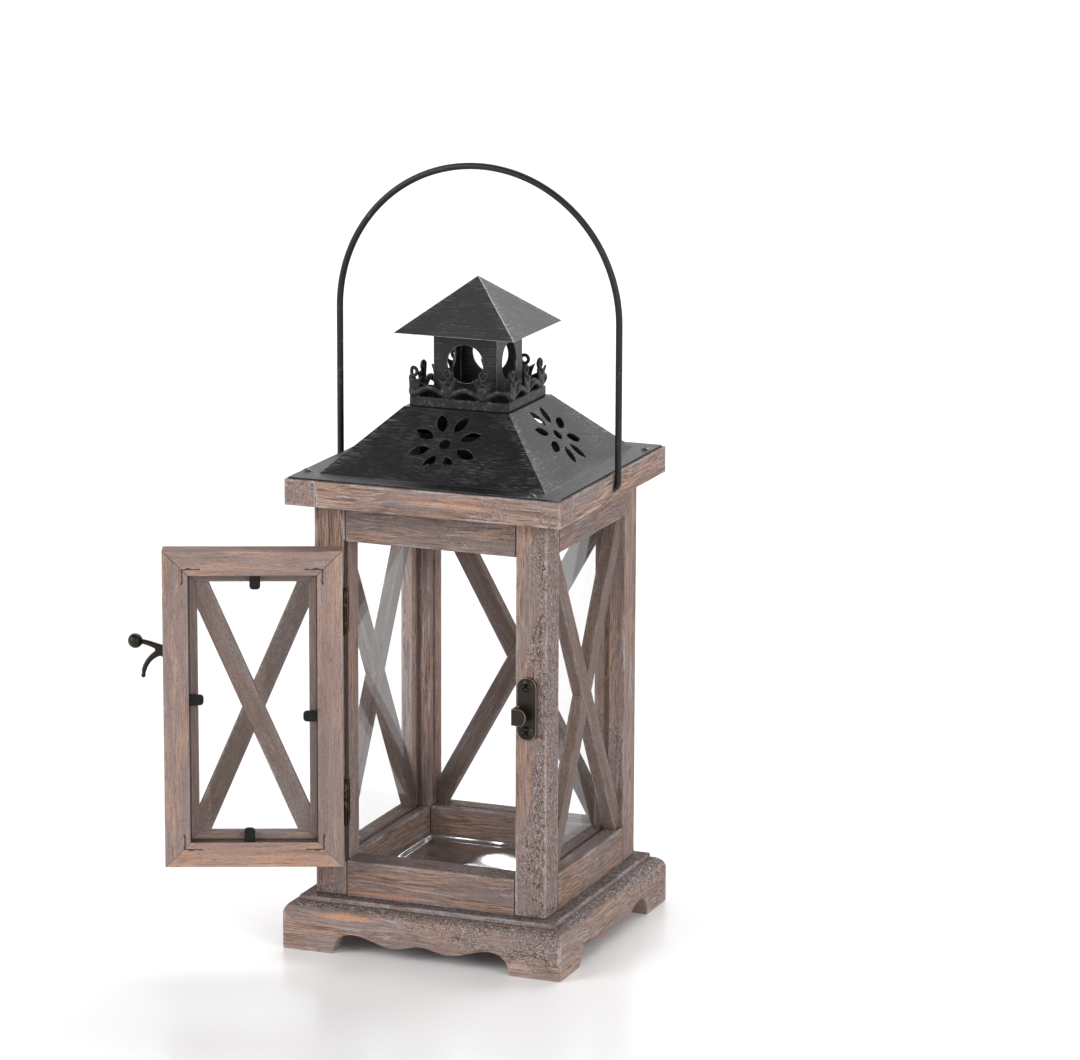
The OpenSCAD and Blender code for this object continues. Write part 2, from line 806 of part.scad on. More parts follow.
// Plate with a tongue that is bent over from its door-side edge to catch the lever's finger
module catch_plate() {
    y0 = -body_w / 2 - plate_t;
    color(bronze) difference() {
        union() {
            translate([catch_at[0], 0, catch_at[1]]) upright(y0, plate_t) round_plate(catch_l, plate_w);
            translate([catch_at[0] - plate_w / 2 - tongue_out, 0, hook_at[1]]) {
                upright(y0 - hook_gap - hook_wall, hook_wall) {
                    translate([0, -hook_h / 2]) square([tongue_l - hook_h / 4, hook_h]);
                    translate([tongue_l - hook_h / 4, 0]) tongue_end();
                }
                translate([0, y0 - hook_gap - hook_wall, -hook_h / 2])
                    cube([hook_wall, hook_gap + hook_wall + plate_t, hook_h]);
            }
        }
        catch_screw_holes();
    }
}

// Rounded free end of the catch's tongue
module tongue_end() {
    intersection() {
        square([hook_h, hook_h], center = true);
        translate([-hook_h / 4, 0]) circle(tongue_r);
    }
}

module catch_screws() {
    color(bronze) screws_on_face(catch_at, catch_screw_gap, catch_screw_l);
}

// Plate on the door with a round boss that keeps the lever clear of the screw heads
module latch_plate() {
    boss_h = plate_t + lever_gap - lever_play;
    color(bronze) on_door() difference() {
        translate([pivot[0], 0, pivot[1]]) {
            upright(-body_w / 2 - plate_t, plate_t) difference() {
                round_plate(latch_l, plate_w);
                circle(rivet_r);
            }
            upright(-body_w / 2 - boss_h, boss_h) difference() {
                circle(boss_r);
                circle(rivet_r);
            }
        }
        latch_screw_holes();
    }
}

module latch_screws() {
    color(bronze) on_door() screws_on_face(pivot, latch_screw_gap, latch_screw_l);
}

module latch_rivet() {
    l = plate_t + lever_gap + lever_t + lever_play;
    color(bronze) on_door() translate([pivot[0], -body_w / 2, pivot[1]]) rotate([90, 0, 0]) {
        cylinder(h = l, r = rivet_r);
        translate([0, 0, l]) cylinder(h = rivet_head_h, r = 2 * rivet_r);
    }
}

// Sector of a ring about c from angle a0 to a1
module ring_sector(c, r, w, a0, a1) {
    far = 2 * r;
    am = (a0 + a1) / 2;
    translate(c) intersection() {
        difference() {
            circle(r + w / 2);
            circle(r - w / 2);
        }
        polygon([
            [0, 0], far * [cos(a0), sin(a0)], far * [cos(am), sin(am)], far * [cos(a1), sin(a1)]
        ]);
    }
}

// Straight bar of width w from point p to point q
module bar(p, q, w) {
    d = q - p;
    translate(p) rotate(atan2(d[1], d[0])) translate([0, -w / 2]) square([norm(d), w]);
}

module latch_lever() {
    fork_a = atan2(lever_fork[1] - finger_mid[1], lever_fork[0] - finger_mid[0]);
    tip_end_a = atan2(lever_tip[1] - finger_mid[1], lever_tip[0] - finger_mid[0]);
    color(bronze) on_door() translate([pivot[0], 0, pivot[1]]) {
        upright(lever_y - lever_t / 2, lever_t) difference() {
            union() {
                circle(lever_hub_r);
                bar([0, 0], lever_fork, lever_neck_w);
                translate(lever_fork) circle(lever_fork_r);
                bar(lever_fork, lever_ball, lever_arm_w);
                ring_sector(finger_mid, finger_r, finger_w, tip_end_a, fork_a);
                translate(lever_tip) circle(finger_w / 2);
            }
            circle(rivet_r + lever_play);
        }
        translate([lever_ball[0], lever_y - ball_out, lever_ball[1]]) sphere(ball_d / 2);
    }
}

module bail_handle() {
    color("#101010") translate([0, 0, pivot_z]) rotate([bail_lean, 0, 0]) {
        translate([0, 0, bail_leg_h]) rotate([90, 0, 0]) rotate_extrude(angle = 180)
            translate([bail_x, 0]) circle(wire_d / 2);
        for (s = [-1, 1]) translate([s * bail_x, 0, 0]) {
            cylinder(h = bail_leg_h, r = wire_d / 2);
            sphere(wire_d / 2);
            rotate([0, -s * 90, 0])
                cylinder(h = wire_end_l + wire_d / 2 + bail_gap - wire_end_gap, r = wire_d / 2);
        }
    }
}

plinth_board(0);  // plinth_front
plinth_board(1);  // plinth_right
plinth_board(2);  // plinth_rear
plinth_board(3);  // plinth_left
base_panel();
floor_tray();
post(0);  // post_front_left
post(1);  // post_front_right
post(2);  // post_rear_right
post(3);  // post_rear_left
bottom_rail(0);  // bottom_rail_front
bottom_rail(1);  // bottom_rail_right
bottom_rail(2);  // bottom_rail_rear
bottom_rail(3);  // bottom_rail_left
top_rail(0);  // top_rail_front
top_rail(1);  // top_rail_right
top_rail(2);  // top_rail_rear
top_rail(3);  // top_rail_left
long_slat(1);  // right_long_slat
short_slats(1);  // right_short_slats
long_slat(2);  // rear_long_slat
short_slats(2);  // rear_short_slats
long_slat(3);  // left_long_slat
short_slats(3);  // left_short_slats
glass_pane(1);  // right_glass
glass_pane(2);  // rear_glass
glass_pane(3);  // left_glass
top_board(0);  // top_board_front
top_board(1);  // top_board_right
top_board(2);  // top_board_rear
top_board(3);  // top_board_left
metal_roof();
roof_screws();
roof_gallery();
cupola_tower();
cupola_roof();
post_leaf(upper_hinge_z);  // upper_hinge_post_leaf
post_leaf(lower_hinge_z);  // lower_hinge_post_leaf
hinge_pin(upper_hinge_z);  // upper_hinge_pin
hinge_pin(lower_hinge_z);  // lower_hinge_pin
post_leaf_screws();
catch_plate();
catch_screws();
door_member(0);  // door_bottom_rail
door_member(1);  // door_latch_stile
door_member(2);  // door_top_rail
door_member(3);  // door_hinge_stile
door_long_slat();
door_short_slats();
door_glass();
glass_clips();
door_leaf(upper_hinge_z);  // upper_hinge_door_leaf
door_leaf(lower_hinge_z);  // lower_hinge_door_leaf
door_leaf_screws();
latch_plate();
latch_rivet();
latch_screws();
latch_lever();
bail_handle();
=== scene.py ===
"""Hanging candle lantern: the finished look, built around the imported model."""

import json
import math
import random

import bmesh
import bpy
from bpy.props import FloatProperty, FloatVectorProperty, PointerProperty
from mathutils import Matrix, Vector


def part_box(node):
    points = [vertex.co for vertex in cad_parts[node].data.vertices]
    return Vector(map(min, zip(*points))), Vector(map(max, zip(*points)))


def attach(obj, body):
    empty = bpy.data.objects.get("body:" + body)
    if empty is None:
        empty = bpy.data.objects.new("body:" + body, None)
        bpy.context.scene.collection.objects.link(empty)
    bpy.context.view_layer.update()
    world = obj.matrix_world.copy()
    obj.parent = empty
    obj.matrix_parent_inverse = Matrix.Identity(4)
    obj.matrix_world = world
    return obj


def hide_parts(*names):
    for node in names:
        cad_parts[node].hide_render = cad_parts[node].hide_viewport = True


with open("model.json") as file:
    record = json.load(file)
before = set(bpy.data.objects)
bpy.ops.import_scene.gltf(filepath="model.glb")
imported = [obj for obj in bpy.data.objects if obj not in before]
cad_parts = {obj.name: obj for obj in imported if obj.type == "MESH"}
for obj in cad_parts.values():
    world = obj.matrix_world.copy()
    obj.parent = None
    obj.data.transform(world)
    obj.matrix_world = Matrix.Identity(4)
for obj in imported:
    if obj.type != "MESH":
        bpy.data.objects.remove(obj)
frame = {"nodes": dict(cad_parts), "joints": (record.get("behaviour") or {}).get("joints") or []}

bl_info = {
    "name": "Hanging Lantern",
    "version": (1, 0, 0),
    "blender": (4, 5, 0),
    "location": "View3D > Sidebar > Lantern",
    "description": "Builds the weathered wood, sheet metal, glass and fittings of a candle lantern",
    "category": "Object",
}

MM = 0.001
NODES = frame["nodes"]
JOINTS = {joint["name"]: joint for joint in frame["joints"]}
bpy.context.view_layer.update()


# ---------------------------------------------------------------- places taken from the frame

def joint_place(name):
    """The pivot of a joint, in metres."""
    return Vector(JOINTS[name]["pos_m"])


HINGE = joint_place("door_hinge")
DOOR_OPEN = math.radians(JOINTS["door_hinge"]["range_deg"][1])
LATCH = joint_place("latch_pivot")
BAIL = joint_place("bail_swing")
# Turns a place on the shut door to the same place on the open door
OPEN_DOOR = (Matrix.Translation(HINGE) @ Matrix.Rotation(-DOOR_OPEN, 4, "Z")
             @ Matrix.Translation(-HINGE))
SHUT_DOOR = OPEN_DOOR.inverted()


# ---------------------------------------------------------------- colours

def tone(red, green, blue):
    """A colour given as it looks on a screen, from 0 to 255, as the linear values shaders use."""
    def linear(part):
        part = part / 255
        return part / 12.92 if part <= 0.04045 else ((part + 0.055) / 1.055) ** 2.4
    return (linear(red), linear(green), linear(blue))


def colour_property(name, description, default):
    """A colour that the sidebar shows."""
    return FloatVectorProperty(name=name, description=description, default=default,
                               subtype="COLOR", size=3, min=0, max=1)


class LanternWood(bpy.types.PropertyGroup):
    """Colours and wear of the wooden parts"""
    cabinet: colour_property("Cabinet stain", "Pinkish brown stain of the cabinet", tone(163, 136, 121))
    door: colour_property("Door stain", "Lighter stain of the door frame", tone(168, 140, 126))
    slats: colour_property("Slat stain", "Greyer stain of the thin crossed slats", tone(120, 103, 93))
    brown: colour_property("Dark brown", "Stain that has settled in the grain", tone(88, 68, 60))
    violet: colour_property("Grey violet", "Cooler patches of the stain", tone(123, 112, 112))
    pale: colour_property("Pale wash", "Whitish wash caught in the grain", tone(200, 197, 199))
    soot: colour_property("Soot", "Dark dirt on the faces that look up", tone(42, 39, 41))
    rubbed: colour_property("Rubbed wood", "Wood that is rubbed through to a warm tan", tone(184, 136, 106))
    # Also the colour of the painted shadows beside the hinges and round the door's rebate, and of the
    # darker inner faces of the top boards
    pores_and_shadow: colour_property("Pores", "Open pores and cracks", tone(56, 44, 40))
    edge_round: FloatProperty(name="Rounded edges", description="Radius of the worn board edges",
                              default=0.55 * MM, min=0, unit="LENGTH")


class LanternMetal(bpy.types.PropertyGroup):
    """Colours of the metal parts and the glass"""
    sheet: colour_property("Roof sheet", "Charcoal paint of the roof", tone(19, 19, 20))
    strokes: colour_property("Brush strokes", "Rubbed strokes on the roof", tone(150, 149, 151))
    cast: colour_property("Gallery", "Paint of the stamped gallery", tone(29, 29, 30))
    wire: colour_property("Wire", "Paint of the bail", tone(17, 17, 18))
    brass: colour_property("Brass", "Plating of the hinges", tone(128, 100, 58))
    tarnish: colour_property("Tarnish", "Dark tarnish on the hinges", tone(34, 26, 19))
    bronze: colour_property("Bronze", "Dark finish of the latch", tone(50, 45, 41))
    bronze_rim: colour_property("Rubbed bronze", "Bright metal on the latch's edges", tone(172, 150, 124))
    tray: colour_property("Tray", "Bright sheet under the candle", tone(214, 215, 217))
    glass: colour_property("Glass", "Tint of the panes' reflections", tone(244, 248, 250))
    zinc: colour_property("Zinc", "Plating of the roof's screws", tone(150, 150, 152))
    # Painted shade in the cross slots of the latch's screws
    slot_shadow: colour_property("Recess", "Cross slots of the latch's screws", tone(8, 7, 6))
    clip: colour_property("Clips", "Black plastic of the glass clips", tone(8, 8, 9))
    clip_dust: colour_property("Clip dust", "Lighter specks on the clips", tone(20, 20, 21))


class LanternStage(bpy.types.PropertyGroup):
    """Camera, floor and light"""
    view_turn: FloatProperty(name="View turn", description="Camera's turn to the right of the front",
                             default=math.radians(21.667), subtype="ANGLE")
    view_rise: FloatProperty(name="View rise", description="Camera's angle above level",
                             default=math.radians(12.768), subtype="ANGLE")
    view_roll: FloatProperty(name="View roll", description="Camera's roll",
                             default=math.radians(-0.23), subtype="ANGLE")
    view_distance: FloatProperty(name="View distance", description="From the camera to the lantern's axis",
                                 default=2103 * MM, min=0.5, unit="LENGTH")
    view_height: FloatProperty(name="View height", description="Height that the camera looks at",
                               default=172 * MM, unit="LENGTH")
    view_side: FloatProperty(name="View side", description="How far right of the axis the camera looks",
                             default=26 * MM, unit="LENGTH")
    lens: FloatProperty(name="Lens", description="Focal length in millimetres",
                        default=167.5, min=20)
    floor: colour_property("Floor", "Pale floor and backdrop", tone(250, 250, 250))
    floor_shade: colour_property("Floor shade", "Darker places of the floor", tone(248, 248, 248))
    backdrop: FloatProperty(name="Backdrop", description="Brightness of the surroundings near the horizon",
                            default=1.0, min=0)
    overhead: FloatProperty(name="Overhead", description="Brightness of the surroundings overhead",
                            default=0.2, min=0)


# ---------------------------------------------------------------- shader expressions

class Value:
    """An output of a shader node, used in expressions; every operator adds the node it needs."""

    def __init__(self, recipe, socket):
        self.recipe = recipe
        self.socket = socket

    def out(self, name):
        """Another output of the same node."""
        return Value(self.recipe, self.socket.node.outputs[name])

    def _math(self, operation, *parts):
        inputs = dict(enumerate(parts))
        return self.recipe.node("ShaderNodeMath", {"operation": operation}, inputs)

    def __add__(self, other):
        return self._math("ADD", self, other)

    def __sub__(self, other):
        return self._math("SUBTRACT", self, other)

    def __mul__(self, other):
        return self._math("MULTIPLY", self, other)

    def __radd__(self, other):
        return self._math("ADD", other, self)

    def __rsub__(self, other):
        return self._math("SUBTRACT", other, self)

    def __rmul__(self, other):
        return self._math("MULTIPLY", other, self)

    def __pow__(self, other):
        return self._math("POWER", self, other)

    def __abs__(self):
        return self._math("ABSOLUTE", self)

    def least(self, other):
        return self._math("MINIMUM", self, other)

    def most(self, other):
        return self._math("MAXIMUM", self, other)

    def step(self, low, high):
        """Rises smoothly from 0 at low to 1 at high."""
        return self.recipe.node("ShaderNodeMapRange", {"interpolation_type": "SMOOTHSTEP"},
                                {"Value": self, "From Min": low, "From Max": high})


class Recipe:
    """The node tree of one material or of the surroundings."""

    def __init__(self, name, kind="materials"):
        self.owner = getattr(bpy.data, kind).new(name)
        self.owner.use_nodes = True
        self.tree = self.owner.node_tree
        self.tree.nodes.clear()

    def node(self, kind, settings=None, inputs=None, output=0):
        """Adds a node: first its settings, then the values or links of its inputs."""
        made = self.tree.nodes.new(kind)
        for key, setting in (settings or {}).items():
            setattr(made, key, setting)
        for key, part in (inputs or {}).items():
            socket = made.inputs[key]
            if isinstance(part, Value):
                self.tree.links.new(part.socket, socket)
            elif socket.type == "RGBA" and len(part) == 3:
                socket.default_value = (*part, 1)
            else:
                socket.default_value = part
        return Value(self, made.outputs[output])

    def attribute(self, name, output="Vector"):
        """A value stored on the mesh."""
        return self.node("ShaderNodeAttribute", {"attribute_name": name}, output=output)

    def parts(self, vector):
        """The three numbers of a vector."""
        split = self.node("ShaderNodeSeparateXYZ", inputs={"Vector": vector})
        return split, split.out("Y"), split.out("Z")

    def vector(self, x, y, z):
        """Three numbers as a vector."""
        return self.node("ShaderNodeCombineXYZ", inputs={"X": x, "Y": y, "Z": z})

    def stretch(self, vector, scales, shifts=(0, 0, 0)):
        """A vector with each axis scaled, then shifted."""
        return self.node("ShaderNodeVectorMath", {"operation": "MULTIPLY_ADD"},
                         {0: vector, 1: scales, 2: shifts})

    def upward(self):
        """How far a face looks up, from -1 to 1."""
        return self.parts(self.node("ShaderNodeNewGeometry", output="True Normal"))[2]

    def place(self):
        """Position on the piece in millimetres."""
        coordinates = self.node("ShaderNodeTexCoord", output="Object")
        return self.node("ShaderNodeVectorMath", {"operation": "SCALE"},
                         {0: coordinates, "Scale": 1 / MM})

    def noise(self, vector, scale=1.0, detail=3.0, roughness=0.5, distortion=0.0):
        """Cloudy noise around 0.5; scale is in spots per unit of the vector."""
        return self.node("ShaderNodeTexNoise", {"noise_dimensions": "3D"},
                         {"Vector": vector, "Scale": scale, "Detail": detail,
                          "Roughness": roughness, "Distortion": distortion})

    def mix(self, factor, first, second, blend="MIX"):
        """Two colours mixed by a factor."""
        return self.node("ShaderNodeMix", {"data_type": "RGBA", "blend_type": blend},
                         {0: factor, 6: first, 7: second}, output=2)

    def bump(self, height, distance, strength):
        """A normal that follows a height; the distance is in metres."""
        return self.node("ShaderNodeBump", inputs={"Height": height, "Distance": distance,
                                                   "Strength": strength})

    def finish(self, **sockets):
        """Ends the recipe in a Principled shader; names are its inputs, with _ for a space."""
        inputs = {key.replace("_", " "): part for key, part in sockets.items()}
        shader = self.node("ShaderNodeBsdfPrincipled", inputs=inputs)
        return self.surface("ShaderNodeOutputMaterial", shader)

    def surface(self, kind, shader):
        """Adds the output node of a material or a world."""
        made = self.tree.nodes.new(kind)
        self.tree.links.new(shader.socket, made.inputs["Surface"])
        return self.owner


# ---------------------------------------------------------------- materials

def colour(value, light=1.0):
    """A colour property as plain numbers, darkened by a factor."""
    return tuple(light * part for part in value)


def edge_distance(recipe):
    """Distance in millimetres from the nearest edge of a board, along its surface."""
    place = recipe.parts(recipe.attribute("board_place"))
    half = recipe.parts(recipe.attribute("board_half"))
    a, b, c = (h - abs(p) for p, h in zip(place, half))
    return a.least(b).most(a.most(b).least(c))


def washed_wood(name, wood, base, grain_depth, grit, rebate=None):
    """Stained wood under a thin whitish wash that clings to the grain, with rubbed streaks.

    The depth of the grain and the amount of grit run from 0 to 1. Boards that give the half size
    of a rebate, which are the door's, get painted shade on its floor, a painted shadow line round
    it and the slits of the mitres' nails.
    """
    recipe = Recipe(name)
    grain = recipe.attribute("grain")
    x, y, z = recipe.parts(grain)
    rub, wash, shade = recipe.parts(recipe.attribute("wear"))
    worn_x, worn_y, worn = recipe.parts(recipe.attribute("worn_patch"))
    flaky = recipe.attribute("flaky", "Fac")
    up = recipe.upward().step(0.45, 0.95)
    edge = edge_distance(recipe)
    board_end = (recipe.parts(recipe.attribute("board_half"))[0]
                 - abs(recipe.parts(recipe.attribute("board_place"))[0]))
    joined_ends = recipe.attribute("joined_ends", "Fac")

    # Noises: those of the grain are drawn out along the board and sway a little
    sway = (recipe.noise(recipe.stretch(grain, (0.025, 0.12, 0.12)), detail=1.0) - 0.5) * 6.0
    swayed = recipe.vector(x, y + sway, z + sway)

    def grain_noise(along, across, detail, roughness=0.5, shift=0.0):
        place = recipe.stretch(swayed, (along, across, across), (shift, 0, 0))
        return recipe.noise(place, detail=detail, roughness=roughness)

    def fleck_noise(along, across, detail, roughness=0.5, shift=0.0, distortion=0.0):
        place = recipe.stretch(grain, (along, across, across), (0, shift, 0))
        return recipe.noise(place, detail=detail, roughness=roughness, distortion=distortion)

    fibre = grain_noise(0.06, 1.9, 5.0, 0.65)
    band = grain_noise(0.012, 0.22, 2.0)
    hue = grain_noise(0.02, 0.16, 2.0, shift=70.0)
    streak = grain_noise(0.04, 1.1, 4.0, 0.6, shift=31.0)
    rub_band = grain_noise(0.011, 0.6, 4.0, 0.6, shift=40.0)
    pore = grain_noise(0.13, 3.2, 2.0, shift=5.0)
    patch = fleck_noise(0.045, 0.1, 3.0, shift=9.0)
    worm = fleck_noise(0.62, 1.0, 2.0, distortion=1.1)
    speck = fleck_noise(1.6, 2.6, 3.0, 0.7)
    edge_noise = fleck_noise(0.25, 0.8, 3.0)
    grains = fleck_noise(0.9, 1.5, 2.0, 0.6)

    # Stain, with rubbed streaks, one worn patch and soot on the faces that look up
    tinted = recipe.mix(1.0 - (1.0 - fibre.step(0.36, 0.6)) * grain_depth, colour(wood.brown), base)
    tinted = recipe.mix(band.step(0.48, 0.7) * 0.45, tinted, colour(wood.brown))
    tinted = recipe.mix(hue.step(0.42, 0.6) * 0.6, tinted, colour(wood.violet))
    rub_mask = (rub_band + rub * 0.3).step(0.6, 0.78) * (rub * 0.8 + 0.3)
    tinted = recipe.mix(rub_mask, tinted, colour(wood.rubbed))
    worn_mask = 1.0 - (worn_x * worn_x + abs(worn_y) + (fibre - 0.5) * 3.0).step(0.4, 0.95)
    tinted = recipe.mix(worn_mask * worn, tinted, colour(wood.rubbed))
    soot_mask = (up * (0.6 + patch * 0.6) * wash).least(1.0)
    tinted = recipe.mix(soot_mask, tinted, colour(wood.soot))

    # Whitish wash: streaks along the grain, and flakes round the hollows it has left
    streak_mask = streak.step(0.53, 0.68) * patch.step(0.35, 0.6) * (0.08 + wash * 0.42)
    tinted = recipe.mix(streak_mask, tinted, colour(wood.pale))
    cling = (patch * 1.2 - 0.25 + flaky + up * wash * 0.4).step(0.45, 0.9)
    hollow = worm.step(0.53, 0.58)
    tinted = recipe.mix(cling * (0.35 + hollow * 0.6), tinted, colour(wood.brown))
    flake_mask = (1.0 - abs(worm - 0.5).step(0.008, 0.036)) * (0.2 + speck * 1.3) * cling
    tinted = recipe.mix((flake_mask * 0.85).least(1.0), tinted, colour(wood.pale))

    # Worn edges, joints, open pores and grit
    edge_mask = (1.0 - (edge - edge_noise * 1.6 + 0.4).step(0.0, 0.8)) * patch.step(0.38, 0.62)
    edge_tone = recipe.mix(edge_noise.step(0.35, 0.5), colour(wood.rubbed), colour(wood.pale))
    tinted = recipe.mix(edge_mask * (0.12 + rub * 0.15 + wash * 0.25), tinted, edge_tone)
    seam = 1.0 - (board_end - edge_noise * 0.5).step(0.1, 0.6)
    crack = (pore.step(0.64, 0.74) * 0.65).most(seam * joined_ends)
    tinted = recipe.mix(crack, tinted, colour(wood.pores_and_shadow))
    tinted = recipe.mix(speck.step(0.5, 0.68) * grit, tinted, colour(wood.brown))
    tinted = recipe.mix(grains.step(0.48, 0.62) * (grit * 0.8), tinted, colour(wood.brown))

    # Painted shadow in the gap beside the hinges and a darker band on the top boards' inner faces,
    # then each board's brightness: its own tone and, on the top rails, painted shade under the top boards
    zone_in, zone_side, zone = recipe.parts(recipe.attribute("shadow_and_dark_face_zone"))
    shadow_and_dark_face_mask = (1.0 - zone_in.step(2.9, 3.5)) * (1.0 - zone_side.step(0.3, 0.6)) * zone
    tinted = recipe.mix(shadow_and_dark_face_mask * board_end.step(14.5, 15.0), tinted, colour(wood.pores_and_shadow, 0.6))
    shades = recipe.node("ShaderNodeCombineColor", inputs={"Red": shade, "Green": shade, "Blue": shade})
    tinted = recipe.mix(1.0, tinted, shades, "MULTIPLY")
    if rebate:
        # Painted shade: the rebate's floor greyer and darker, and corner a painted shadow line round the
        # rebate
        shaded_seat, corner = rebate_shade_masks(recipe, rebate)
        tinted = recipe.mix(shaded_seat * 0.45, tinted, colour(wood.violet, 0.62))
        # dark: the painted shadow line round the rebate, with the real slits of the mitres' nails
        dark = corner.most(mitre_nails(recipe, rebate))
        tinted = recipe.mix(dark * 0.95, tinted, colour(wood.pores_and_shadow))

    height = fibre * 0.5 + flake_mask * 0.5 - crack * 0.8 - hollow * cling * 0.3 + speck * 0.15
    return recipe.finish(
        Base_Color=tinted,
        Roughness=0.85 - streak_mask * 0.1,
        Specular_IOR_Level=0.3,
        Normal=recipe.bump(height, 0.00022, 0.8))


def rebate_shade_masks(recipe, rebate):
    """Painted shade on the floor of the rebate that holds the door's pane, and a painted shadow line round
    it.
    """
    place_x, y, place_z = recipe.parts(recipe.attribute("door_place"))
    beyond = (abs(place_x) - rebate.x).most(abs(place_z) - rebate.z)
    shaded_seat = 1.0 - beyond.step(-0.1, 0.2)
    # A painted shadow line along the rebate's edge
    corner = (1.0 - abs(beyond + 0.15).step(0.15, 0.5)) * (1.0 - y.step(-1.2, -0.5))
    return shaded_seat, corner


def mitre_nails(recipe, rebate):
    """Slits of the bent nails that hold the four mitres, on the door's inner face."""
    place_x, y, place_z = recipe.parts(recipe.attribute("door_place"))
    x = abs(place_x) - rebate.x
    z = abs(place_z) - rebate.z
    wave = (recipe.noise(recipe.vector(x * 0.4, 0.0, z * 0.4), detail=1.0) - 0.5) * 1.6
    across = (1.0 - abs(z - 3.0 + wave).step(0.18, 0.42)) * (1.0 - abs(x + 1.4).step(3.4, 3.8))
    down = (1.0 - abs(x - 2.4 + wave).step(0.18, 0.42)) * (1.0 - abs(z + 0.2).step(3.2, 3.6))
    return across.most(down) * y.step(-0.4, -0.1)


def brushed_sheet(name, metal, shine, brush):
    """Charcoal paint, dry-brushed in level strokes, with rubbed edges.

    Shine lightens the paint and makes it more metallic; brush is the amount of strokes.
    """
    recipe = Recipe(name)
    place = recipe.place()
    x, y, _ = recipe.parts(place)
    strokes = recipe.noise(recipe.stretch(place, (0.13, 0.13, 5.0)), detail=4.0, roughness=0.62)
    fine = recipe.noise(recipe.stretch(place, (0.3, 0.3, 8.0), (7.0, 0, 0)), roughness=0.6)
    patch = recipe.noise(recipe.stretch(place, (0.05, 0.05, 0.07)), detail=2.0)
    blotch = recipe.noise(place, 0.4, detail=4.0, roughness=0.6)
    dust = recipe.noise(place, 1.4, detail=2.0)
    rim = recipe.attribute("rim", "Fac")
    hip = 1.0 - (abs(abs(x) - abs(y)) + blotch * 4.0).step(1.0, 9.0)
    dense = (patch + 0.05 + hip * 0.3).step(0.4, 0.75)
    mask = strokes.step(0.55, 0.68) * dense * (0.35 + hip * 0.5) * brush
    mask = mask + fine.step(0.54, 0.7) * (0.12 + dense * 0.4) * brush + dust.step(0.7, 0.76) * 0.15
    mask = mask * (1.0 - recipe.upward().step(0.9, 0.99) * 0.75)
    mask = mask.most(rim * blotch.step(0.3, 0.5) * 0.9)
    lightened = [dark + shine * (light - dark) for dark, light in zip(metal.sheet, metal.strokes)]
    return recipe.finish(
        Base_Color=recipe.mix(mask, lightened, colour(metal.strokes)),
        Metallic=0.3 + shine * 2.0,
        Roughness=0.38 + blotch * 0.14 - mask * 0.1,
        Normal=recipe.bump(fine * 0.5 + blotch * 0.3 + strokes * 0.5, 0.00005, 0.6))


def rubbed_cast(name, metal):
    """Charcoal paint with lighter rubbed blotches, for the stamped gallery."""
    recipe = Recipe(name)
    place = recipe.place()
    blotch = recipe.noise(place, 0.5, detail=4.0, roughness=0.6)
    fine = recipe.noise(place, 2.2)
    return recipe.finish(
        Base_Color=recipe.mix(blotch.step(0.5, 0.75) * 0.25, colour(metal.cast), colour(metal.strokes)),
        Metallic=0.5,
        Roughness=0.38 + fine * 0.2,
        Normal=recipe.bump(blotch * 0.7 + fine * 0.3, 0.00012, 0.6))


def painted_wire(name, metal):
    """Black paint, worn a little in patches."""
    recipe = Recipe(name)
    wear = recipe.noise(recipe.place(), 0.3, detail=5.0, roughness=0.65)
    return recipe.finish(
        Base_Color=recipe.mix(wear.step(0.6, 0.75) * 0.25, colour(metal.wire), colour(metal.strokes)),
        Roughness=0.34 + wear * 0.15,
        Specular_IOR_Level=0.35,
        Normal=recipe.bump(wear, 0.00008, 0.4))


def plated(name, base, tarnish, amount, roughness):
    """Plated metal with tarnish in patches."""
    recipe = Recipe(name)
    place = recipe.place()
    patch = recipe.noise(place, 0.4, detail=5.0, roughness=0.62)
    fine = recipe.noise(place, 3.0, detail=2.0)
    return recipe.finish(
        Base_Color=recipe.mix(patch.step(0.3, 0.48) * amount, base, tarnish),
        Metallic=0.9,
        Roughness=roughness + fine * 0.18,
        Normal=recipe.bump(fine * 0.5 + patch, 0.00005, 0.4))


def antique_bronze(name, metal):
    """Dark bronze whose edges are rubbed bright, with cross slots in its screw heads painted dark as their
    shade.
    """
    recipe = Recipe(name)
    place = recipe.place()
    patch = recipe.noise(place, 0.5, detail=4.0, roughness=0.6)
    fine = recipe.noise(place, 2.5)
    rim = recipe.attribute("rim", "Fac")
    mask = (rim * (0.6 + patch * 0.8)).step(0.6, 1.0)
    paint = recipe.mix(mask, colour(metal.bronze), colour(metal.bronze_rim))
    # Painted shade in the cross slots of the screw heads
    across, up, head = recipe.parts(recipe.attribute("screw_head"))
    slot = (1.0 - abs(across).least(abs(up)).step(0.3, 0.45)) * head
    slot = slot * (1.0 - abs(across).most(abs(up)).step(1.5, 1.7))
    return recipe.finish(
        Base_Color=recipe.mix(slot * 0.9, paint, colour(metal.slot_shadow)),
        Metallic=0.85,
        Roughness=0.3 + fine * 0.16 + slot * 0.3,
        Normal=recipe.bump(patch + fine * 0.5 - slot * 3.0, 0.00008, 0.5))


